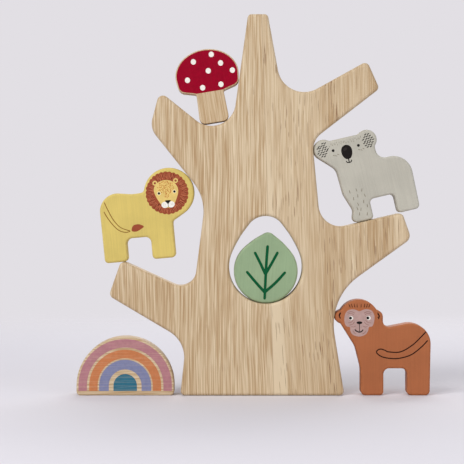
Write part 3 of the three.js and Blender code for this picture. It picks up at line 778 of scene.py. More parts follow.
@dataclass(frozen=True)
class Paint(Finish):
    """Matte paint over the whole board.

    Attributes:
        colour: the paint.
        bare: the lighter tint in the edge patches, partly wear and partly a painted highlight on the rounded
            edges.
        rub_and_highlight: how strong that wear and painted highlight are, up to 1.
    """

    colour: Colour = (1.0, 1.0, 1.0, 1.0)
    # bare is a lighter tint of the paint: a painted highlight on the rounded edges, as well as wear
    bare: Colour = WOOD_LIGHT
    rub_and_highlight: float = 0.3

    DEPTH = 0.04

    def coat(self, board: Board, place: Signal, grain: Node) -> None:
        """Lays the paint over the grain, with patches of wear and a painted highlight along the rounded
        edges.

        Args:
            board: the material's tree.
            place: where on the board, along its grain.
            grain: the placed group of the grain.
        """
        values = {"Vector": place, "Paint": self.colour, "Wear_Highlight": self.bare, "Rub_And_Highlight": self.rub_and_highlight,
                  "Face": self.face(board), "Figure": grain.outputs["Figure"],
                  "Pores": grain.outputs["Pores"]}
        self.lay(board, EFFECTS.paint, values)


@dataclass(frozen=True)
class Ink(Finish):
    """A printed coat on a board's face.

    Attributes:
        colour: the ink.
        thin: how much of the wood's grain shows through, up to 1.
    """

    colour: Colour = (0.0, 0.0, 0.0, 1.0)
    thin: float = 0.0

    DEPTH = 0.02
    GLOSS = 0.06

    def face(self, board: Board) -> float:
        """Gives 1, because ink lies on a face."""
        return 1.0

    def coat(self, board: Board, place: Signal, grain: Node) -> None:
        """Lays the ink, with the grain under it where it is thin.

        Args:
            board: the material's tree.
            place: where on the board, along its grain.
            grain: the placed group of the grain.
        """
        values = {"Vector": place, "Ink": self.colour, "Wood": grain.outputs["Color"],
                  "Figure": grain.outputs["Figure"], "Thin": self.thin}
        self.lay(board, EFFECTS.print, values)


BLACK_INK = Ink("black_ink", colour=srgb(30, 26, 25))
WHITE_INK = Ink("white_ink", colour=srgb(238, 234, 224))
BLUSH_INK = Ink("blush_ink", colour=srgb(214, 150, 140))


# Boards


@dataclass(frozen=True)
class Stance:
    """Where a piece's drawing frame lies in the toy.

    Attributes:
        x: its origin, to the right.
        y: its middle plane, to the back.
        z: its origin, upwards.
        lean: clockwise lean seen from the front, in radians.
    """

    x: float
    y: float
    z: float
    lean: float = 0.0

    def drawn(self, x: float, z: float) -> Vector:
        """Finds the drawing's point for a point of the toy.

        Args:
            x: the point, to the right.
            z: the point, upwards.

        Returns:
            The same point in the drawing.
        """
        cos, sin = math.cos(self.lean), math.sin(self.lean)
        right, up = x - self.x, z - self.z
        return Vector((right * cos - up * sin, right * sin + up * cos))


class Footing(Enum):
    """How a piece's drawing frame is found on its solid."""

    TREE = "origin of the toy"
    FLAT = "longest flat that faces down"
    ROUND = "middle of the round lower half, leaning with the tip"


class Outline:
    """The outline of a CAD node's slab, read from its mesh and drawn smooth."""

    def __init__(self, node: str) -> None:
        """Reads the slab's loops, thickness and edge rounding.

        Args:
            node: the CAD node's name.
        """
        low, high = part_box(node)
        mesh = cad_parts[node].data
        spots = [vertex.co / MM for vertex in mesh.vertices]
        levels = sorted({round(spot.y, KEY_DIGITS) for spot in spots})
        gaps = [(b - a, a) for a, b in zip(levels, levels[1:])]
        wall = max(gaps)[1]
        self.middle = (low.y + high.y) / 2 / MM
        self.half = (high.y - low.y) / 2 / MM
        self.edge = wall - low.y / MM
        links: dict[Point, set[Point]] = {}
        places: dict[Point, Vector] = {}
        for edge in mesh.edges:
            ends = [spots[i] for i in edge.vertices]
            if any(abs(spot.y - wall) >= WALL_ROOM for spot in ends):
                continue
            a, b = ((round(spot.x, KEY_DIGITS), round(spot.z, KEY_DIGITS)) for spot in ends)
            places |= {a: ends[0].xz, b: ends[1].xz}
            if a != b:
                links.setdefault(a, set()).add(b)
                links.setdefault(b, set()).add(a)
        loops = sorted(self._walk(links), key=lambda loop: -abs(area(loop)))
        turned = [loop if (area(loop) > 0) == (i == 0) else loop[::-1] for i, loop in enumerate(loops)]
        self.loops = [[places[point] for point in loop] for loop in turned]

    @staticmethod
    def _walk(links: dict[Point, set[Point]]) -> Iterable[Polygon]:
        """Follows linked points round each closed loop.

        Args:
            links: the two neighbours of every point.

        Returns:
            The loops, one by one.
        """
        left = set(links)
        while left:
            start = min(left)
            loop = [start]
            left.discard(start)
            while True:
                ahead = [point for point in sorted(links[loop[-1]]) if point in left]
                if not ahead:
                    break
                loop.append(ahead[0])
                left.discard(ahead[0])
            yield loop

    def stance(self, footing: Footing, feet: float) -> Stance:
        """Finds the drawing frame.

        Args:
            footing: how it is found.
            feet: middle of the flat under the feet, in the drawing.

        Returns:
            The drawing frame's place in the toy.
        """
        if footing is Footing.TREE:
            return Stance(0.0, self.middle, 0.0)
        return self._round_stance() if footing is Footing.ROUND else self._flat_stance(feet)

    def _round_stance(self) -> Stance:
        """Finds the frame of a piece with a round lower half, which leans as its tip does.

        Returns:
            The drawing frame's place in the toy.
        """
        rim = self.loops[0]
        xs = [spot.x for spot in rim]
        lowest = min(spot.y for spot in rim)
        centre = Vector(((min(xs) + max(xs)) / 2, lowest + (max(xs) - min(xs)) / 2))
        arms = [spot - centre for spot in rim]
        reach = max(arm.length for arm in arms)
        tip = sum((arm for arm in arms if arm.length > TIP * reach), Vector((0.0, 0.0)))
        return Stance(centre.x, self.middle, centre.y, math.atan2(tip.x, tip.y))

    def _flat_stance(self, feet: float) -> Stance:
        """Finds the frame of a piece that stands on its longest flat.

        Args:
            feet: middle of that flat, in the drawing.

        Returns:
            The drawing frame's place in the toy.
        """
        rim = self.loops[0]
        heights = [spot.y for spot in rim]
        halfway = (min(heights) + max(heights)) / 2
        hull = [rim[i] for i in convex_hull_2d(rim)]
        sides = [(a, b) if a.x < b.x else (b, a) for a, b in zip(hull, hull[1:] + hull[:1])]
        lower = [(a, b) for a, b in sides if (a + b).y / 2 < halfway]
        ground = [(a, b) for a, b in lower if abs((b - a).y) < GROUND_SLOPE * (b - a).x]
        a, b = max(ground, key=lambda side: (side[1] - side[0]).length)
        along = (b - a).normalized()
        down = Vector((along.y, -along.x))
        lowest = max(spot.dot(down) for spot in rim)
        standing = [spot for spot in rim if lowest - spot.dot(down) < TOUCH]
        a, b = min(standing, key=along.dot), max(standing, key=along.dot)
        lean = math.atan2(a.y - b.y, b.x - a.x)
        spot = (a + b) / 2
        return Stance(spot.x - feet * math.cos(lean), self.middle, spot.y + feet * math.sin(lean), lean)

    def drawn(self, stance: Stance) -> list[list[tuple[Vector, Vector]]]:
        """Draws every loop smooth in the piece's own frame, with the direction out of the wood."""
        return [self._smooth([stance.drawn(spot.x, spot.y) for spot in loop]) for loop in self.loops]

    @staticmethod
    def _smooth(loop: list[Vector]) -> list[tuple[Vector, Vector]]:
        """Replaces the facets of curved stretches by smooth curves, and leaves straight stretches straight.

        Args:
            loop: the facets' corners.

        Returns:
            Finer points, each with the direction out of the wood.
        """
        count = len(loop)
        sides = [loop[(i + 1) % count] - loop[i] for i in range(count)]
        headings = []
        for i in range(count):
            before, after = sides[i - 1], sides[i]
            if before.length > STRAIGHT * after.length:
                headings.append(before.normalized())
            elif after.length > STRAIGHT * before.length:
                headings.append(after.normalized())
            else:
                headings.append((before.normalized() + after.normalized()).normalized())
        smooth = []
        for i, side in enumerate(sides):
            start, end = headings[i], headings[(i + 1) % count]
            turn = math.degrees(abs(start.angle_signed(side, 0.0)) + abs(side.angle_signed(end, 0.0)))
            bits = max(1, math.ceil(turn / CURVE_STEP))
            for t in (bit / bits for bit in range(bits)):
                spot = loop[i] + side * (t * t * (3 - 2 * t))
                spot += start * (side.length * t * (1 - t) ** 2) - end * (side.length * t * t * (1 - t))
                along = side * (6 * t * (1 - t)) + start * (side.length * (1 - t) * (1 - 3 * t))
                along -= end * (side.length * t * (2 - 3 * t))
                along.normalize()
                smooth.append((spot, Vector((along.y, -along.x))))
        return smooth


@dataclass
class WoodPiece:
    """A board cut to its CAD node's outline, with rounded edges and what is printed on both faces.

    Attributes:
        node: the CAD node, its body and the piece's name.
        slot: the record's material slot; not used.
        finish: the board's own finish.
        feet: middle of the flat under the feet, in the drawing.
        footing: how the drawing frame is found.
        edge: edge rounding, or 0 for that of the solid.
    """

    node: str
    slot: str
    finish: Finish
    feet: float = 0.0
    footing: Footing = Footing.FLAT
    edge: float = 0.0

    def __post_init__(self) -> None:
        """Reads the outline and finds the drawing frame."""
        self.outline = Outline(self.node)
        self.stance = self.outline.stance(self.footing, self.feet)
        self.half = self.outline.half - PRINT_ROOM
        self.loops = self.outline.drawn(self.stance)
        self.edge = self.edge or self.outline.edge

    def build(self) -> bpy.types.Object:
        """Makes the board in place of its CAD node.

        Returns:
            The board's object.
        """
        angles = [math.pi / 2 * i / EDGE_STEPS for i in range(EDGE_STEPS, -1, -1)]
        rings = [(-1, angle) for angle in angles] + [(1, angle) for angle in reversed(angles)]
        spots, normals, faces, shares = [], [], [], []
        front, back = [], []
        for loop in self.loops:
            first, count = len(spots), len(loop)
            for side, angle in rings:
                cos, sin = math.cos(angle), math.sin(angle)
                inset, deep = self.edge * (1 - cos), self.half - self.edge * (1 - sin)
                for spot, out in loop:
                    spots.append((spot.x - out.x * inset, side * deep, spot.y - out.y * inset))
                    normals.append((out.x * cos, side * sin, out.y * cos))
                    shares.append(sin)
            last = len(spots) - count
            for near in range(first, last, count):
                far = near + count
                turns = [(i, (i + 1) % count) for i in range(count)]
                faces += [(near + i, far + i, far + j, near + j) for i, j in turns]
            front.append(range(first, first + count))
            back.append(range(last, last + count))
        faces += self._flat(spots, front, upward=True) + self._flat(spots, back, upward=False)
        board = self._object(self.node + "_board", spots, faces, self.finish)
        board.data.normals_split_custom_set_from_vertices(normals)
        share = board.data.attributes.new("face", "FLOAT", "POINT")
        share.data.foreach_set("value", shares)
        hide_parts(self.node)
        return board

    @staticmethod
    def _flat(spots: list[Spot], rims: list[range], upward: bool) -> list[Face]:
        """Fills a flat face between its rims.

        Args:
            spots: the board's points.
            rims: numbers of the points on each rim.
            upward: whether the face's triangles run anticlockwise in the drawing.

        Returns:
            The triangles, by point number.
        """
        numbers = [i for rim in rims for i in rim]
        flat = [[Vector((spots[i][0], spots[i][2], 0.0)) for i in rim] for rim in rims]
        points = [tuple(point.xy) for rim in flat for point in rim]
        faces = []
        for corners in tessellate_polygon(flat):
            right_way = (area([points[i] for i in corners]) > 0) == upward
            faces.append(tuple(numbers[i] for i in (corners if right_way else reversed(corners))))
        return faces

    def dress(self) -> None:
        """Prints the piece, where it has a print."""

    def print(self, name: str, ink: Finish, shapes: Iterable[Polygon], coat: int = 0) -> bpy.types.Object:
        """Prints shapes in one ink on both faces.

        Args:
            name: what is printed.
            ink: the ink.
            shapes: closed outlines in the drawing, anticlockwise.
            coat: how many coats lie under it.

        Returns:
            The print's object.
        """
        low, high = self.half - INK_ROOT, self.half + INK_RISE + COAT_RISE * coat
        spots, faces = [], []
        for number, shape in enumerate(shapes):
            count = len(shape)
            level = high + INK_STEP * (number % INK_STEPS)
            for side in (-1, 1):
                top, bottom = len(spots), len(spots) + count
                spots += [(x, side * height, z) for height in (level, low) for x, z in shape]
                turns = [(i, (i + 1) % count) for i in range(count)]
                walls = [(top + i, bottom + i, bottom + j, top + j) for i, j in turns]
                made = [tuple(range(top, bottom)), tuple(range(bottom + count - 1, bottom - 1, -1)), *walls]
                faces += made if side < 0 else [face[::-1] for face in made]
        return self._object(f"{self.node}_{name}", spots, faces, ink, smooth=False)

    def _object(
        self, name: str, spots: list[Spot], faces: list[Face], finish: Finish, smooth: bool = True
    ) -> bpy.types.Object:
        """Makes a mesh object in the drawing frame and hangs it on the piece's body.

        Args:
            name: the object's name.
            spots: its points in millimetres.
            faces: its faces by point number.
            finish: its finish.
            smooth: whether it is shaded smooth.

        Returns:
            The object.
        """
        mesh = bpy.data.meshes.new(name)
        mesh.from_pydata([tuple(value * MM for value in spot) for spot in spots], [], faces)
        mesh.polygons.foreach_set("use_smooth", [smooth] * len(mesh.polygons))
        mesh.materials.append(finish.material())
        made = bpy.data.objects.new(name, mesh)
        bpy.context.scene.collection.objects.link(made)
        made.location = Vector((self.stance.x, self.stance.y, self.stance.z)) * MM
        made.rotation_euler.y = self.stance.lean
        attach(made, self.node)
        LOG.info("%s: %d faces, %s", name, len(mesh.polygons), finish.name)
        return made

    def room(self, x: float, z: float) -> float:
        """Measures how far a drawing point lies inside the outline.

        Args:
            x: the point, to the right.
            z: the point, upwards.

        Returns:
            Its distance to the outline, negative outside the wood.
        """
        spot = Vector((x, z))
        near, out = min(self.loops[0], key=lambda pair: (pair[0] - spot).length_squared)
        return -(spot - near).dot(out)

    def scatter(
        self, spots: Iterable[Point], chance: random.Random, shake: float, keep: float
    ) -> list[Point]:
        """Shakes spots out of their rows, and keeps those at least so far from the outline."""
        shaken = [(x + chance.uniform(-shake, shake), z + chance.uniform(-shake, shake)) for x, z in spots]
        return [(x, z) for x, z in shaken if self.room(x, z) > keep]


# The pieces


@dataclass
class Tree(WoodPiece):
    """The slab tree in bare wood, glued from strips."""

    node: str = "tree"
    slot: str = "bare_wood"
    finish: Finish = BareWood("bare_tree_wood", seed=16.0, glued=True)
    footing: Footing = Footing.TREE


@dataclass
class Leaf(WoodPiece):
    """The leaf in the trunk, light green with dark veins.

    Attributes:
        vein: width of a vein.
    """

    node: str = "leaf"
    slot: str = "leaf_green"
    # bare is a lighter green: a painted highlight on the edges, as well as wear
    finish: Finish = Paint(
        "leaf_paint", seed=7.0, colour=srgb(146, 168, 131), bare=srgb(178, 195, 158), rub_and_highlight=0.5
    )
    footing: Footing = Footing.ROUND
    vein: float = 2.0

    def dress(self) -> None:
        """Prints the stem and two pairs of veins."""
        lines = [
            [(-0.1, 16.6), (0.0, 4.0), (0.7, -18.2)],
            [(-0.3, -1.6), (-4.0, 4.9), (-8.1, 11.7)],
            [(0.1, -1.6), (3.5, 5.5), (6.8, 12.9)],
            [(0.4, -14.1), (-6.0, -8.1), (-12.4, -1.6)],
            [(0.4, -14.1), (7.1, -7.3), (12.8, 0.0)],
        ]
        ink = Ink("vein_ink", colour=srgb(14, 84, 48))
        self.print("veins", ink, strokes(lines, self.vein, 0.9))


@dataclass
class Mushroom(WoodPiece):
    """The mushroom in bare wood with a red spotted cap.

    Attributes:
        rim: bare wood left round the printed cap.
        hem: height at which the red ends on the stem.
        spot: half the width and half the height of a white spot.
    """

    node: str = "mushroom"
    slot: str = "mushroom_red"
    finish: Finish = BareWood(
        "bare_stem_wood", seed=11.0, light=srgb(211, 190, 157), dark=srgb(178, 146, 106)
    )
    edge: float = 0.7
    rim: float = 0.05
    hem: float = 20.9
    spot: Point = (1.75, 1.89)

    def dress(self) -> None:
        """Prints the red cap, then its spots."""
        inset = self.edge + self.rim
        cap = [spot - out * inset for spot, out in self.loops[0] if spot.y - out.y * inset > self.hem]
        red = Ink("cap_ink", seed=11.0, colour=srgb(146, 0, 34), thin=0.004)
        self.print("cap", red, [self._opened(cap)])
        places = [(-7.6, 42.4), (5.1, 45.4), (10.3, 38.7), (1.3, 34.9), (-13.5, 30.9), (17.3, 32.7),
                  (-4.3, 24.3), (8.2, 24.6)]
        self.print("spots", WHITE_INK, [oval(x, z, *self.spot) for x, z in places], coat=1)

    @staticmethod
    def _opened(cap: list[Vector]) -> Polygon:
        """Starts the cap's points at the right end of its hem, so that they run over the top to the left.

        Args:
            cap: the cap's points in loop order, broken somewhere by the hem.

        Returns:
            The same points from hem to hem.
        """
        gaps = [(cap[i] - cap[i - 1]).length for i in range(len(cap))]
        start = gaps.index(max(gaps))
        return [tuple(spot) for spot in cap[start:] + cap[:start]]


@dataclass
class Lion(WoodPiece):
    """The yellow lion, facing right, with a red-brown mane.

    Attributes:
        mane: middle of the mane.
        mane_radius: radius of the mane.
        tufts: tufts round its rim.
        notch: depth of the notches between them.
        hairs: strokes in one ring of its hairs.
        roots: least and greatest distance of a hair's root from the middle.
        tips: least and greatest distance of its tip.
        shake: how far a hair may turn either way, as a share of the space for one.
        bend: how far its tip may turn aside, in radians.
        hair: width of a hair at its root, and that at its tip as a share of it.
    """

    node: str = "lion"
    slot: str = "lion_yellow"
    # bare is a lighter yellow: a painted highlight on the edges, as well as wear
    finish: Finish = Paint(
        "lion_paint", seed=13.0, colour=srgb(213, 190, 106), bare=srgb(232, 211, 132), rub_and_highlight=0.5
    )
    mane: Point = (21.9, 43.5)
    mane_radius: float = 14.6
    tufts: int = 30
    notch: float = 0.6
    hairs: int = 84
    roots: tuple[float, float] = (9.0, 11.6)
    tips: tuple[float, float] = (12.4, 13.8)
    shake: float = 0.3
    bend: float = 0.05
    hair: tuple[float, float] = (0.44, 0.5)

    def dress(self) -> None:
        """Prints mane, tail and face."""
        chance = random.Random(21)
        mane = Ink("mane_ink", colour=srgb(152, 76, 52))
        tuft = blob((-4.0, 20.2), (-3.1, 23.3), (-0.7, 24.3), (2.0, 24.0), (4.3, 22.4), (2.0, 20.7),
                    (-1.1, 19.5))
        rim = scalloped(self.mane, self.mane_radius, self.notch, self.tufts, chance)
        self.print("mane", mane, [rim, tuft])
        shade = Ink("mane_shade_ink", colour=srgb(112, 48, 34))
        self.print("mane_hairs", shade, self._hairs(chance, 0.0), coat=1)
        light = Ink("mane_light_ink", colour=srgb(186, 108, 76))
        self.print("mane_lights", light, self._hairs(chance, 0.5), coat=2)
        self._tail()
        self._face(chance, mane)

    def _hairs(self, chance: random.Random, shift: float) -> list[Polygon]:
        """Draws the mane's radial hairs.

        Args:
            chance: the draws that make them uneven.
            shift: turn of the whole ring, in hairs.

        Returns:
            The hairs' outlines.
        """
        hairs = []
        for i in range(self.hairs):
            angle = math.tau * (i + shift + chance.uniform(-self.shake, self.shake)) / self.hairs
            root, tip = chance.uniform(*self.roots), chance.uniform(*self.tips)
            bent = angle + chance.uniform(-self.bend, self.bend)
            line = [polar(self.mane, root, angle), polar(self.mane, tip, bent)]
            hairs.append(stroke(line, *self.hair))
        return hairs

    def _tail(self) -> None:
        """Prints the two lines of the tail."""
        lines = [
            [(-20.6, 40.6), (-19.0, 36.2), (-15.9, 29.1), (-11.5, 23.3), (-5.4, 20.4)],
            [(-21.4, 34.4), (-19.6, 30.6), (-16.4, 25.5), (-12.4, 21.2), (-8.2, 19.6), (-5.2, 20.0)],
        ]
        self.print("tail", Ink("tail_ink", colour=srgb(132, 88, 34)), strokes(lines, 0.55, 0.9))

    def _face(self, chance: random.Random, mane: Ink) -> None:
        """Prints the face on the mane.

        Args:
            chance: the draws that scatter the forehead's dots.
            mane: the mane's ink, which shows inside the ears.
        """
        face = blob((21.3, 52.2), (26.0, 50.9), (28.9, 47.5), (29.4, 43.6), (27.7, 38.8), (25.3, 34.9),
                    (21.9, 33.6), (18.4, 34.8), (15.6, 38.8), (13.5, 43.6), (13.4, 47.6), (16.4, 51.0))
        ears = [(14.3, 50.7), (28.3, 51.2)]
        skin = Ink("lion_face_ink", colour=srgb(223, 194, 116))
        self.print("face", skin, [face, *dots(1.65, *ears)], coat=3)
        self.print("ears", mane, dots(0.75, *ears), coat=4)
        rows = self.scatter(grid(evenly(15.2, 27.6, 13), evenly(40.5, 51.2, 12), 0.5), chance, 0.45, 1.0)
        spots = [
            dot(x, z, chance.uniform(0.24, 0.4)) for x, z in rows
            if within(x, z, (21.3, 47.4), 5.4, 4.6) or (abs(x - 21.7) < 1.6 and 39.6 < z < 45)
        ]
        self.print("freckles", Ink("freckle_ink", colour=srgb(190, 122, 58)), spots, coat=4)
        eyes = [(16.4, 43.6), (26.9, 44.0)]
        lobes = [oval(19.7, 35.6, 2.35, 2.1, -10), oval(24.0, 35.6, 2.35, 2.1, 10)]
        self.print("muzzle", WHITE_INK, lobes, coat=4)
        self.print("eye_rings", Ink("cream_ink", colour=srgb(238, 224, 176)), dots(1.3, *eyes), coat=4)
        nose = blob((19.9, 38.3), (21.9, 38.6), (23.9, 38.3), (22.7, 36.9), (21.9, 36.0), (21.1, 36.9))
        mouth = stroke([(21.9, 36.4), (21.9, 34.2)], 0.35)
        whiskers = dots(0.16, (18.6, 36.2), (18.9, 35.2), (19.9, 35.8), (24.0, 35.8), (24.9, 35.2),
                        (25.1, 36.2))
        self.print("nose", BLACK_INK, [*dots(0.85, *eyes), nose, mouth, *whiskers], coat=5)


@dataclass
class Koala(WoodPiece):
    """The grey koala, facing left, with dashed ears and a large nose.

    Attributes:
        ears: middles of the ears' dashes.
    """

    node: str = "koala"
    slot: str = "koala_grey"
    # bare is a lighter grey: a painted highlight on the edges, as well as wear
    finish: Finish = Paint(
        "koala_paint", seed=17.0, colour=srgb(186, 182, 168), bare=srgb(202, 199, 187), rub_and_highlight=0.45
    )
    feet: float = 6.93
    ears: tuple[Point, Point] = ((-25.2, 53.0), (6.1, 52.4))

    def dress(self) -> None:
        """Prints the face, the ears' dashes and the leg's fur ticks."""
        chance = random.Random(31)
        nose = blob((-9.8, 52.6), (-7.3, 51.6), (-6.2, 49.2), (-6.5, 46.0), (-8.0, 43.5), (-9.8, 43.0),
                    (-11.6, 43.5), (-13.2, 46.0), (-13.4, 49.2), (-12.3, 51.6))
        lips = [[(-11.5, 41.7), (-11.0, 40.8), (-9.8, 40.5)], [(-9.8, 40.5), (-8.5, 40.8), (-8.0, 41.8)]]
        mouth = [stroke([(-9.8, 43.4), (-9.8, 40.7)], 0.7), *strokes(lips, 0.65)]
        eyes = dots(0.95, (-18.6, 50.7), (-1.3, 50.3))
        self.print("face", BLACK_INK, [nose, *mouth, *eyes, *self._dashes(chance)])
        shine = oval(-10.5, 49.9, 1.5, 1.0, 20)
        self.print("nose_shine", Ink("nose_grey_ink", colour=srgb(46, 41, 39)), [shine], coat=1)
        cheeks = [(-18.8 + 17.4 * side + 1.5 * i, 47.4 - 0.6 * (i % 2)) for side in (0, 1) for i in range(3)]
        brows = self.scatter(grid(evenly(-20.0, 0.5, 12), [54.2, 55.3], 0.9), chance, 0.5, 1.9)
        legs = self.scatter(grid(evenly(-14.0, -6.2, 3), evenly(4.6, 21.0, 5), 1.6), chance, 0.9, 2.4)
        fur = [tick(x, z, 1.0, 0.45, -35) for x, z in cheeks]
        fur += [tick(x, z, 0.7, 0.32, 80) for x, z in brows]
        fur += [tick(x, z, 1.8, 0.48, 86 + chance.uniform(-16, 16)) for x, z in legs]
        self.print("fur", Ink("fur_grey_ink", colour=srgb(128, 119, 102)), fur)

    def _dashes(self, chance: random.Random) -> list[Polygon]:
        """Draws the short dashes in both ears, row by row.

        Args:
            chance: the draws that make them uneven.

        Returns:
            The dashes' outlines.
        """
        dashes = []
        for x, z in self.ears:
            columns = [x + across for across in (-3.2, -1.3, 0.6, 2.5)]
            rows = grid(columns, evenly(z - 4.6, z + 3.9, 7), 0.95)
            kept = self.scatter(rows, chance, 0.2, 2.2)
            dashes += [tick(a, b, 1.2, 0.68, 24 + chance.uniform(-14, 14)) for a, b in kept
                       if within(a, b, (x, z), 3.7, 5.4)]
        return dashes


@dataclass
class Monkey(WoodPiece):
    """The brown monkey, facing left, with a pink mask and a tail drawn in outline."""

    node: str = "monkey"
    slot: str = "monkey_brown"
    # bare is a lighter brown: a painted highlight on the edges, as well as wear
    finish: Finish = Paint(
        "monkey_paint", seed=19.0, colour=srgb(168, 100, 62), bare=srgb(200, 124, 76), rub_and_highlight=0.5
    )
    feet: float = 10.17

    def dress(self) -> None:
        """Prints mask, face, ears, hair and tail."""
        mask = blob((-14.1, 56.6), (-16.4, 57.5), (-19.0, 57.9), (-22.2, 56.9), (-24.0, 53.6),
                    (-24.1, 49.2), (-22.7, 46.5), (-20.5, 45.9), (-20.2, 43.5), (-18.6, 40.9),
                    (-14.4, 39.6), (-10.3, 40.8), (-8.3, 43.3), (-7.7, 45.9), (-5.6, 46.5),
                    (-4.4, 49.0), (-4.0, 53.2), (-5.6, 56.8), (-8.7, 58.0), (-11.6, 57.6))
        self.print("mask", Ink("mask_ink", colour=srgb(180, 150, 143)), [mask])
        self.print("wrinkles", Ink("wrinkle_ink", colour=srgb(140, 100, 92)), self._wrinkles(), coat=1)
        eyes = [(-20.1, 52.0), (-8.4, 52.1)]
        whites = [oval(x + 0.4, z, 1.45, 1.4) for x, z in eyes]
        self.print("eye_whites", WHITE_INK, whites, coat=1)
        nose = oval(-14.1, 48.9, 1.95, 0.95)
        mouth = [stroke([(-14.1, 48.6), (-14.1, 43.2)], 0.4),
                 stroke([(-17.0, 44.2), (-15.9, 43.2), (-14.1, 42.6), (-12.6, 43.1), (-11.8, 44.0)], 0.75)]
        self.print("face", BLACK_INK, [*dots(1.0, *eyes), nose, *mouth], coat=2)
        self._lines()

    @staticmethod
    def _wrinkles() -> list[Polygon]:
        """Draws the fine lines round the eyes and the muzzle, alike on both sides.

        Returns:
            The lines' outlines.
        """
        middle = -14.1
        half = [
            [(4.2, 50.6), (5.6, 49.2), (7.6, 48.8)],
            [(3.4, 49.4), (4.6, 47.9), (6.6, 47.3)],
            [(3.9, 54.4), (5.8, 55.3), (7.9, 54.6)],
            [(3.2, 55.4), (5.6, 56.4), (8.0, 55.7)],
            [(2.6, 46.6), (4.0, 46.0), (5.4, 46.4)],
            [(2.2, 41.3), (3.4, 42.1), (4.3, 43.4)],
        ]
        both = [[(middle + side * x, z) for x, z in line] for line in half for side in (-1, 1)]
        return strokes(both, 0.34, 0.8)

    def _lines(self) -> None:
        """Prints the dark lines of ears, hair and tail."""
        ears = [stroke([(-27.0, 55.2), (-27.6, 53.7), (-27.0, 52.0)], 1.1, 0.7),
                stroke([(-1.6, 54.9), (-0.8, 53.4), (-1.2, 51.6)], 1.0, 0.7),
                stroke([(-0.9, 53.0), (-2.0, 52.4)], 0.5, 0.6)]
        tufts = [(-20.4, 0.9), (-18.9, 0.6), (-17.2, 0.3), (-15.6, 0.1), (-13.0, -0.1), (-10.9, -0.4),
                 (-9.3, -0.7), (-7.8, -0.9)]
        hair = strokes([[(x, 59.4), (x - lean, 61.6)] for x, lean in tufts], 0.55, 0.5)
        tail = [(30.4, 42.6), (27.0, 39.0), (21.2, 33.6), (13.4, 29.3), (5.6, 29.3), (3.2, 30.3),
                (0.3, 31.2), (-1.9, 30.4), (-2.5, 28.9), (-0.6, 26.9), (2.8, 25.5), (8.1, 24.8),
                (13.4, 25.1), (20.8, 27.4), (27.4, 32.4), (31.6, 36.8)]
        dark = Ink("monkey_line_ink", colour=srgb(50, 26, 18))
        self.print("lines", dark, [*ears, *hair, stroke(tail, 0.8)])


@dataclass
class Rainbow(WoodPiece):
    """The rainbow in bare wood with four printed bands.

    Attributes:
        middle: height of the bands' middle.
        foot: height at which the bands end.
    """

    node: str = "rainbow"
    slot: str = "rainbow_wood"
    finish: Finish = BareWood("bare_rainbow_wood", seed=23.0, run=Run.LEVEL)
    edge: float = 1.1
    middle: float = 6.5
    foot: float = 3.0

    def dress(self) -> None:
        """Prints the four bands, thin enough to show the grain."""
        bands = (
            ("pink", srgb(173, 120, 127), 31.4, 25.7),
            ("orange", srgb(193, 121, 78), 24.2, 18.5),
            ("lavender", srgb(123, 128, 161), 17.5, 11.0),
            ("teal", srgb(42, 106, 128), 7.9, 0.0),
        )
        for name, colour, outer, inner in bands:
            ink = Ink(f"rainbow_{name}_ink", seed=23.0, run=Run.LEVEL, colour=colour, thin=0.13)
            self.print(name, ink, [arch(outer, inner, self.middle, self.foot)])


@dataclass
class Rabbit(WoodPiece):
    """The lavender rabbit, facing left, with a white blaze."""

    node: str = "rabbit"
    slot: str = "rabbit_lavender"
    # bare is a lighter lavender: a painted highlight on the edges, as well as wear
    finish: Finish = Paint(
        "rabbit_paint", seed=29.0, colour=srgb(158, 164, 196), bare=srgb(182, 187, 212), rub_and_highlight=0.45
    )

    def dress(self) -> None:
        """Prints the blaze, ears, tail, face and fur ticks."""
        chance = random.Random(41)
        blaze = blob((-16.9, 31.2), (-15.6, 35.0), (-12.6, 37.4), (-12.0, 33.6), (-12.4, 29.6),
                     (-14.4, 26.9), (-16.4, 28.4))
        puff = scalloped((14.4, 13.4), 2.9, 0.5, 12, chance)
        self.print("blaze", WHITE_INK, [blaze, puff])
        ears = [
            blob((-11.8, 43.6), (-10.9, 48.6), (-12.3, 53.4), (-14.6, 53.2), (-15.2, 48.6), (-13.4, 44.2)),
            blob((-4.2, 43.6), (-1.9, 48.0), (-0.1, 54.4), (-1.9, 54.8), (-4.2, 49.6), (-5.2, 45.2)),
        ]
        cheek = oval(-8.2, 30.2, 1.7, 1.3)
        nose = oval(-16.2, 31.6, 0.95, 0.75)
        self.print("ears", BLUSH_INK, [*ears, cheek, nose], coat=1)
        lines = [stroke([(-15.6, 30.8), (-14.6, 29.4), (-13.3, 29.6)], 0.35),
                 stroke([(2.2, 9.6), (3.2, 15.4), (7.6, 18.4), (12.2, 17.4)], 0.5, 0.6)]
        rises = [(31.6, 0.6), (30.6, 0.0), (29.6, -0.6)]
        whiskers = strokes([[(-12.8, z), (-10.4, z + rise)] for z, rise in rises], 0.22, 0.6)
        self.print("face", BLACK_INK, [dot(-10.2, 34.9, 1.1), *lines, *whiskers], coat=2)
        fur = self.scatter(grid(evenly(-12.0, 14.0, 9), evenly(10.5, 24.0, 5), 1.4), chance, 0.7, 2.4)
        ticks = [tick(x, z, 1.1, 0.3, 70 + chance.uniform(-14, 14)) for x, z in fur]
        self.print("fur", Ink("rabbit_fur_ink", colour=srgb(130, 136, 172)), ticks)


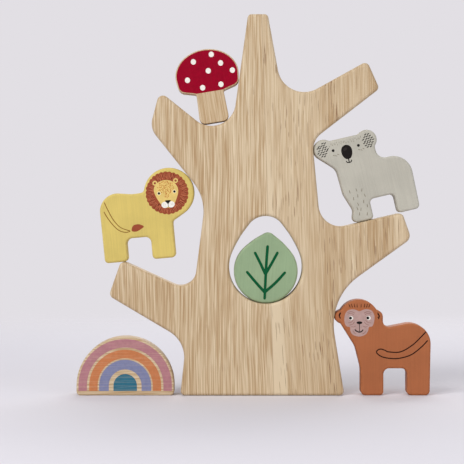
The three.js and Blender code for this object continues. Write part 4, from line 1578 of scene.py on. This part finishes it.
@dataclass
class Hedgehog(WoodPiece):
    """The tan hedgehog, facing left, with a pale face and rows of spines.

    Attributes:
        den: middle of the spines' rings.
        rings: their radii.
        sweep: how far a ring runs round, in degrees.
        crowd: spines in a ring for each millimetre of its radius.
        shake: how far a spine may turn either way, as a share of the space for one.
        clear: least distance of a spine from the outline.
        spine: length and width of a spine.
    """

    node: str = "hedgehog"
    slot: str = "hedgehog_tan"
    # bare is a lighter tan: a painted highlight on the edges, as well as wear
    finish: Finish = Paint(
        "hedgehog_paint", seed=31.0, colour=srgb(184, 143, 101), bare=srgb(210, 172, 128), rub_and_highlight=0.5
    )
    feet: float = 3.96
    den: Point = (-1.0, 8.0)
    rings: tuple[float, ...] = (10.5, 14.0, 17.5, 21.0, 24.5)
    sweep: float = 140.0
    crowd: float = 0.95
    shake: float = 0.15
    clear: float = 3.2
    spine: tuple[float, float] = (2.0, 0.5)

    def dress(self) -> None:
        """Prints the face and the spines."""
        chance = random.Random(51)
        face = blob((-24.6, 13.4), (-20.4, 16.6), (-15.4, 19.2), (-11.2, 17.6), (-9.4, 12.0), (-11.4, 6.4),
                    (-16.6, 6.6), (-22.0, 9.6))
        self.print("face", Ink("pale_face_ink", colour=srgb(233, 222, 203)), [face])
        self.print("cheek", BLUSH_INK, [oval(-13.6, 10.4, 1.5, 1.2)], coat=1)
        marks = [
            dot(-16.4, 14.3, 0.95),
            oval(-23.2, 13.0, 1.2, 1.0),
            stroke([(-21.2, 10.9), (-19.4, 10.0), (-17.6, 10.6)], 0.4),
            stroke([(-11.4, 20.0), (-9.6, 19.0), (-9.4, 16.9)], 0.5, 0.7),
        ]
        self.print("marks", BLACK_INK, marks, coat=1)
        dark = Ink("spine_ink", colour=srgb(112, 76, 48))
        self.print("spines", dark, self._spines(chance, 0.0))
        pale = Ink("pale_spine_ink", colour=srgb(224, 200, 162))
        self.print("pale_spines", pale, self._spines(chance, 0.5))

    def _spines(self, chance: random.Random, shift: float) -> list[Polygon]:
        """Draws the spines in rings round the den.

        Args:
            chance: the draws that make them uneven.
            shift: turn of the rings, in spines.

        Returns:
            The spines' outlines.
        """
        spines = []
        for radius in self.rings:
            count = int(radius * self.crowd)
            for i in range(count):
                angle = self.sweep * (i + shift + chance.uniform(-self.shake, self.shake)) / count
                x, z = polar(self.den, radius, math.radians(angle))
                if self.room(x, z) > self.clear:
                    spines.append(tick(x, z, *self.spine, angle))
        return spines


@dataclass
class Crocodile(WoodPiece):
    """The green crocodile, facing left, with teeth, scales and a pale belly."""

    node: str = "crocodile"
    slot: str = "crocodile_green"
    # bare is a lighter green: a painted highlight on the edges, as well as wear
    finish: Finish = Paint(
        "crocodile_paint", seed=37.0, colour=srgb(129, 157, 97), bare=srgb(156, 182, 122), rub_and_highlight=0.5
    )
    feet: float = 2.0

    def dress(self) -> None:
        """Prints belly, mouth, teeth, eye and scales."""
        chance = random.Random(61)
        belly = blob((-18.0, 12.6), (-8.0, 12.0), (2.0, 11.6), (12.0, 12.0), (21.6, 12.4), (12.0, 10.7),
                     (2.0, 10.4), (-8.0, 10.7))
        self.print("belly", Ink("pale_green_ink", colour=srgb(186, 201, 146)), [belly])
        mouth = [(-47.6, 13.8), (-41.0, 12.4), (-33.0, 12.8), (-26.0, 15.0)]
        teeth = [[(x - 0.9, 13.2), (x, 11.4), (x + 0.9, 13.2)] for x in evenly(-44.6, -30.0, 7)]
        self.print("teeth", WHITE_INK, [*teeth, dot(-23.0, 26.0, 2.1)])
        marks = [stroke(mouth, 0.6, 0.8), oval(-46.2, 17.0, 0.9, 0.6, 20), dot(-23.5, 26.0, 1.15)]
        self.print("marks", BLACK_INK, marks, coat=1)
        rows = self.scatter(grid(evenly(-15.0, 42.0, 14), evenly(13.6, 22.4, 4), 2.0), chance, 0.3, 2.6)
        scales = strokes([[(x - 1.1, z + 0.5), (x, z - 0.5), (x + 1.1, z + 0.5)] for x, z in rows], 0.42)
        self.print("scales", Ink("scale_ink", colour=srgb(90, 117, 66)), scales)


# Studio


@dataclass(frozen=True)
class Lamp:
    """A square lamp that faces the toy.

    Attributes:
        name: its name.
        place: where it hangs, in metres.
        size: length of its sides, in metres.
        watts: its power.
    """

    name: str
    place: Spot
    size: float
    watts: float


@dataclass
class Studio:
    """Camera, lamps, world and floor round the toy.

    Attributes:
        width: width of the view at the toy's front face.
        aim: middle of the view, to the right and upwards.
        distance: camera to the toy's front face.
        rise: camera's elevation in degrees.
        sensor: width of the camera's sensor.
        lamps: the broad key lamp at the upper left, and weaker ones at the right and behind.
        heart: the point that the lamps face, in metres.
        sky: colour of the even light from all round.
        sky_strength: its strength.
        backdrop: colour behind the toy.
        floor_radius: radius of the floor.
        floor_points: points round its rim.
        floor_drop: how far it lies below the toy.
        floor_fade: shares of its radius between which it fades into the backdrop.
        floor_roughness: roughness of its paper.
        floor_gloss: specular level of its paper.
    """

    width: float = 311.0
    aim: Point = (-20.4, 109.9)
    distance: float = 1300.0
    rise: float = 0.9
    sensor: float = 36.0
    lamps: tuple[Lamp, ...] = (
        Lamp("key", (-0.75, -1.15, 1.05), 0.9, 17.5),
        Lamp("fill", (1.0, -1.1, 0.5), 1.2, 5.0),
        Lamp("rear", (0.3, 1.3, 0.9), 1.2, 12.0),
    )
    heart: Spot = (0.0, 0.0, 0.11)
    sky: Colour = srgb(246, 247, 255)
    sky_strength: float = 0.4
    backdrop: Colour = srgb(226, 223, 228)
    floor_radius: float = 1100.0
    floor_points: int = 96
    floor_drop: float = 0.1
    floor_fade: tuple[float, float] = (0.3, 0.95)
    floor_roughness: float = 0.9
    floor_gloss: float = 0.1

    def camera(self) -> None:
        """Sets the camera square to the front, as far off as a product lens stands."""
        data = bpy.data.cameras.new("camera")
        data.sensor_width = self.sensor
        data.lens = self.sensor * self.distance / self.width
        made = bpy.data.objects.new("camera", data)
        front = CAD_BOX[0].y
        tilt = math.radians(self.rise)
        back = Vector((0.0, -math.cos(tilt), math.sin(tilt)))
        target = Vector((self.aim[0] * MM, front, self.aim[1] * MM))
        made.location = target + back * (self.distance * MM)
        made.rotation_euler = (-back).to_track_quat("-Z", "Y").to_euler()
        bpy.context.scene.collection.objects.link(made)
        bpy.context.scene.camera = made

    def light(self) -> None:
        """Hangs the lamps."""
        for lamp in self.lamps:
            data = bpy.data.lights.new(lamp.name, "AREA")
            data.size = lamp.size
            data.energy = lamp.watts
            made = bpy.data.objects.new(lamp.name, data)
            made.location = lamp.place
            made.rotation_euler = (Vector(self.heart) - made.location).to_track_quat("-Z", "Y").to_euler()
            bpy.context.scene.collection.objects.link(made)

    def world(self) -> None:
        """Lights the toy evenly, and shows the backdrop's colour to the camera and in gloss."""
        made = bpy.data.worlds.new("studio")
        made.use_nodes = True
        board = Board(made.node_tree)
        light = made.node_tree.nodes["Background"]
        light.inputs["Color"].default_value = self.sky
        light.inputs["Strength"].default_value = self.sky_strength
        seen = board.node("ShaderNodeBackground", {"Color": self.backdrop, "Strength": 1.0})
        path = board.node("ShaderNodeLightPath")
        either = board.math("MAXIMUM", path.outputs["Is Camera Ray"], path.outputs["Is Glossy Ray"])
        shown = board.math("MAXIMUM", either, path.outputs["Is Transmission Ray"])
        mixed = board.node("ShaderNodeMixShader", {0: shown, 1: light.outputs[0], 2: seen.outputs[0]})
        board.put(made.node_tree.nodes["World Output"].inputs["Surface"], mixed.outputs[0])
        bpy.context.scene.world = made

    def floor(self) -> None:
        """Lays a round floor that fades into the backdrop."""
        radius = self.floor_radius * MM
        turns = [math.tau * i / self.floor_points for i in range(self.floor_points)]
        mesh = bpy.data.meshes.new("floor")
        spots = [(*polar((0.0, 0.0), radius, turn), 0.0) for turn in turns]
        mesh.from_pydata(spots, [], [tuple(range(self.floor_points))])
        made = bpy.data.objects.new("floor", mesh)
        made.location.z = -self.floor_drop * MM
        material = bpy.data.materials.new("floor_paper")
        material.use_nodes = True
        board = Board(material.node_tree)
        shader = material.node_tree.nodes["Principled BSDF"]
        place = board.node("ShaderNodeTexCoord").outputs["Object"]
        reach = board.node("ShaderNodeVectorMath", {0: place}, operation="LENGTH").outputs["Value"]
        near, far = (share * radius for share in self.floor_fade)
        board.put(shader.inputs["Alpha"], board.ramp(reach, near, far, 1.0, 0.0))
        shader.inputs["Base Color"].default_value = self.backdrop
        shader.inputs["Roughness"].default_value = self.floor_roughness
        shader.inputs["Specular IOR Level"].default_value = self.floor_gloss
        mesh.materials.append(material)
        bpy.context.scene.collection.objects.link(made)

    def build(self) -> None:
        """Sets up everything round the toy."""
        bpy.context.scene.view_settings.view_transform = "Standard"
        self.camera()
        self.light()
        self.world()
        self.floor()


PIECES: tuple[Callable[[], WoodPiece], ...] = (
    Tree, Leaf, Mushroom, Lion, Koala, Monkey, Rainbow, Rabbit, Hedgehog, Crocodile,
)


def main() -> None:
    """Builds the toy piece by piece, then the studio."""
    logging.basicConfig(level=logging.INFO, format="%(name)s %(message)s")
    for kind in PIECES:
        piece = kind()
        piece.build()
        piece.dress()
        spot, lean = piece.stance, math.degrees(piece.stance.lean)
        LOG.info("%s stands at %.1f, %.1f, leaning %.1f degrees", piece.node, spot.x, spot.z, lean)
    Studio().build()
    bpy.context.view_layer.update()


if __name__ == "__main__":
    main()
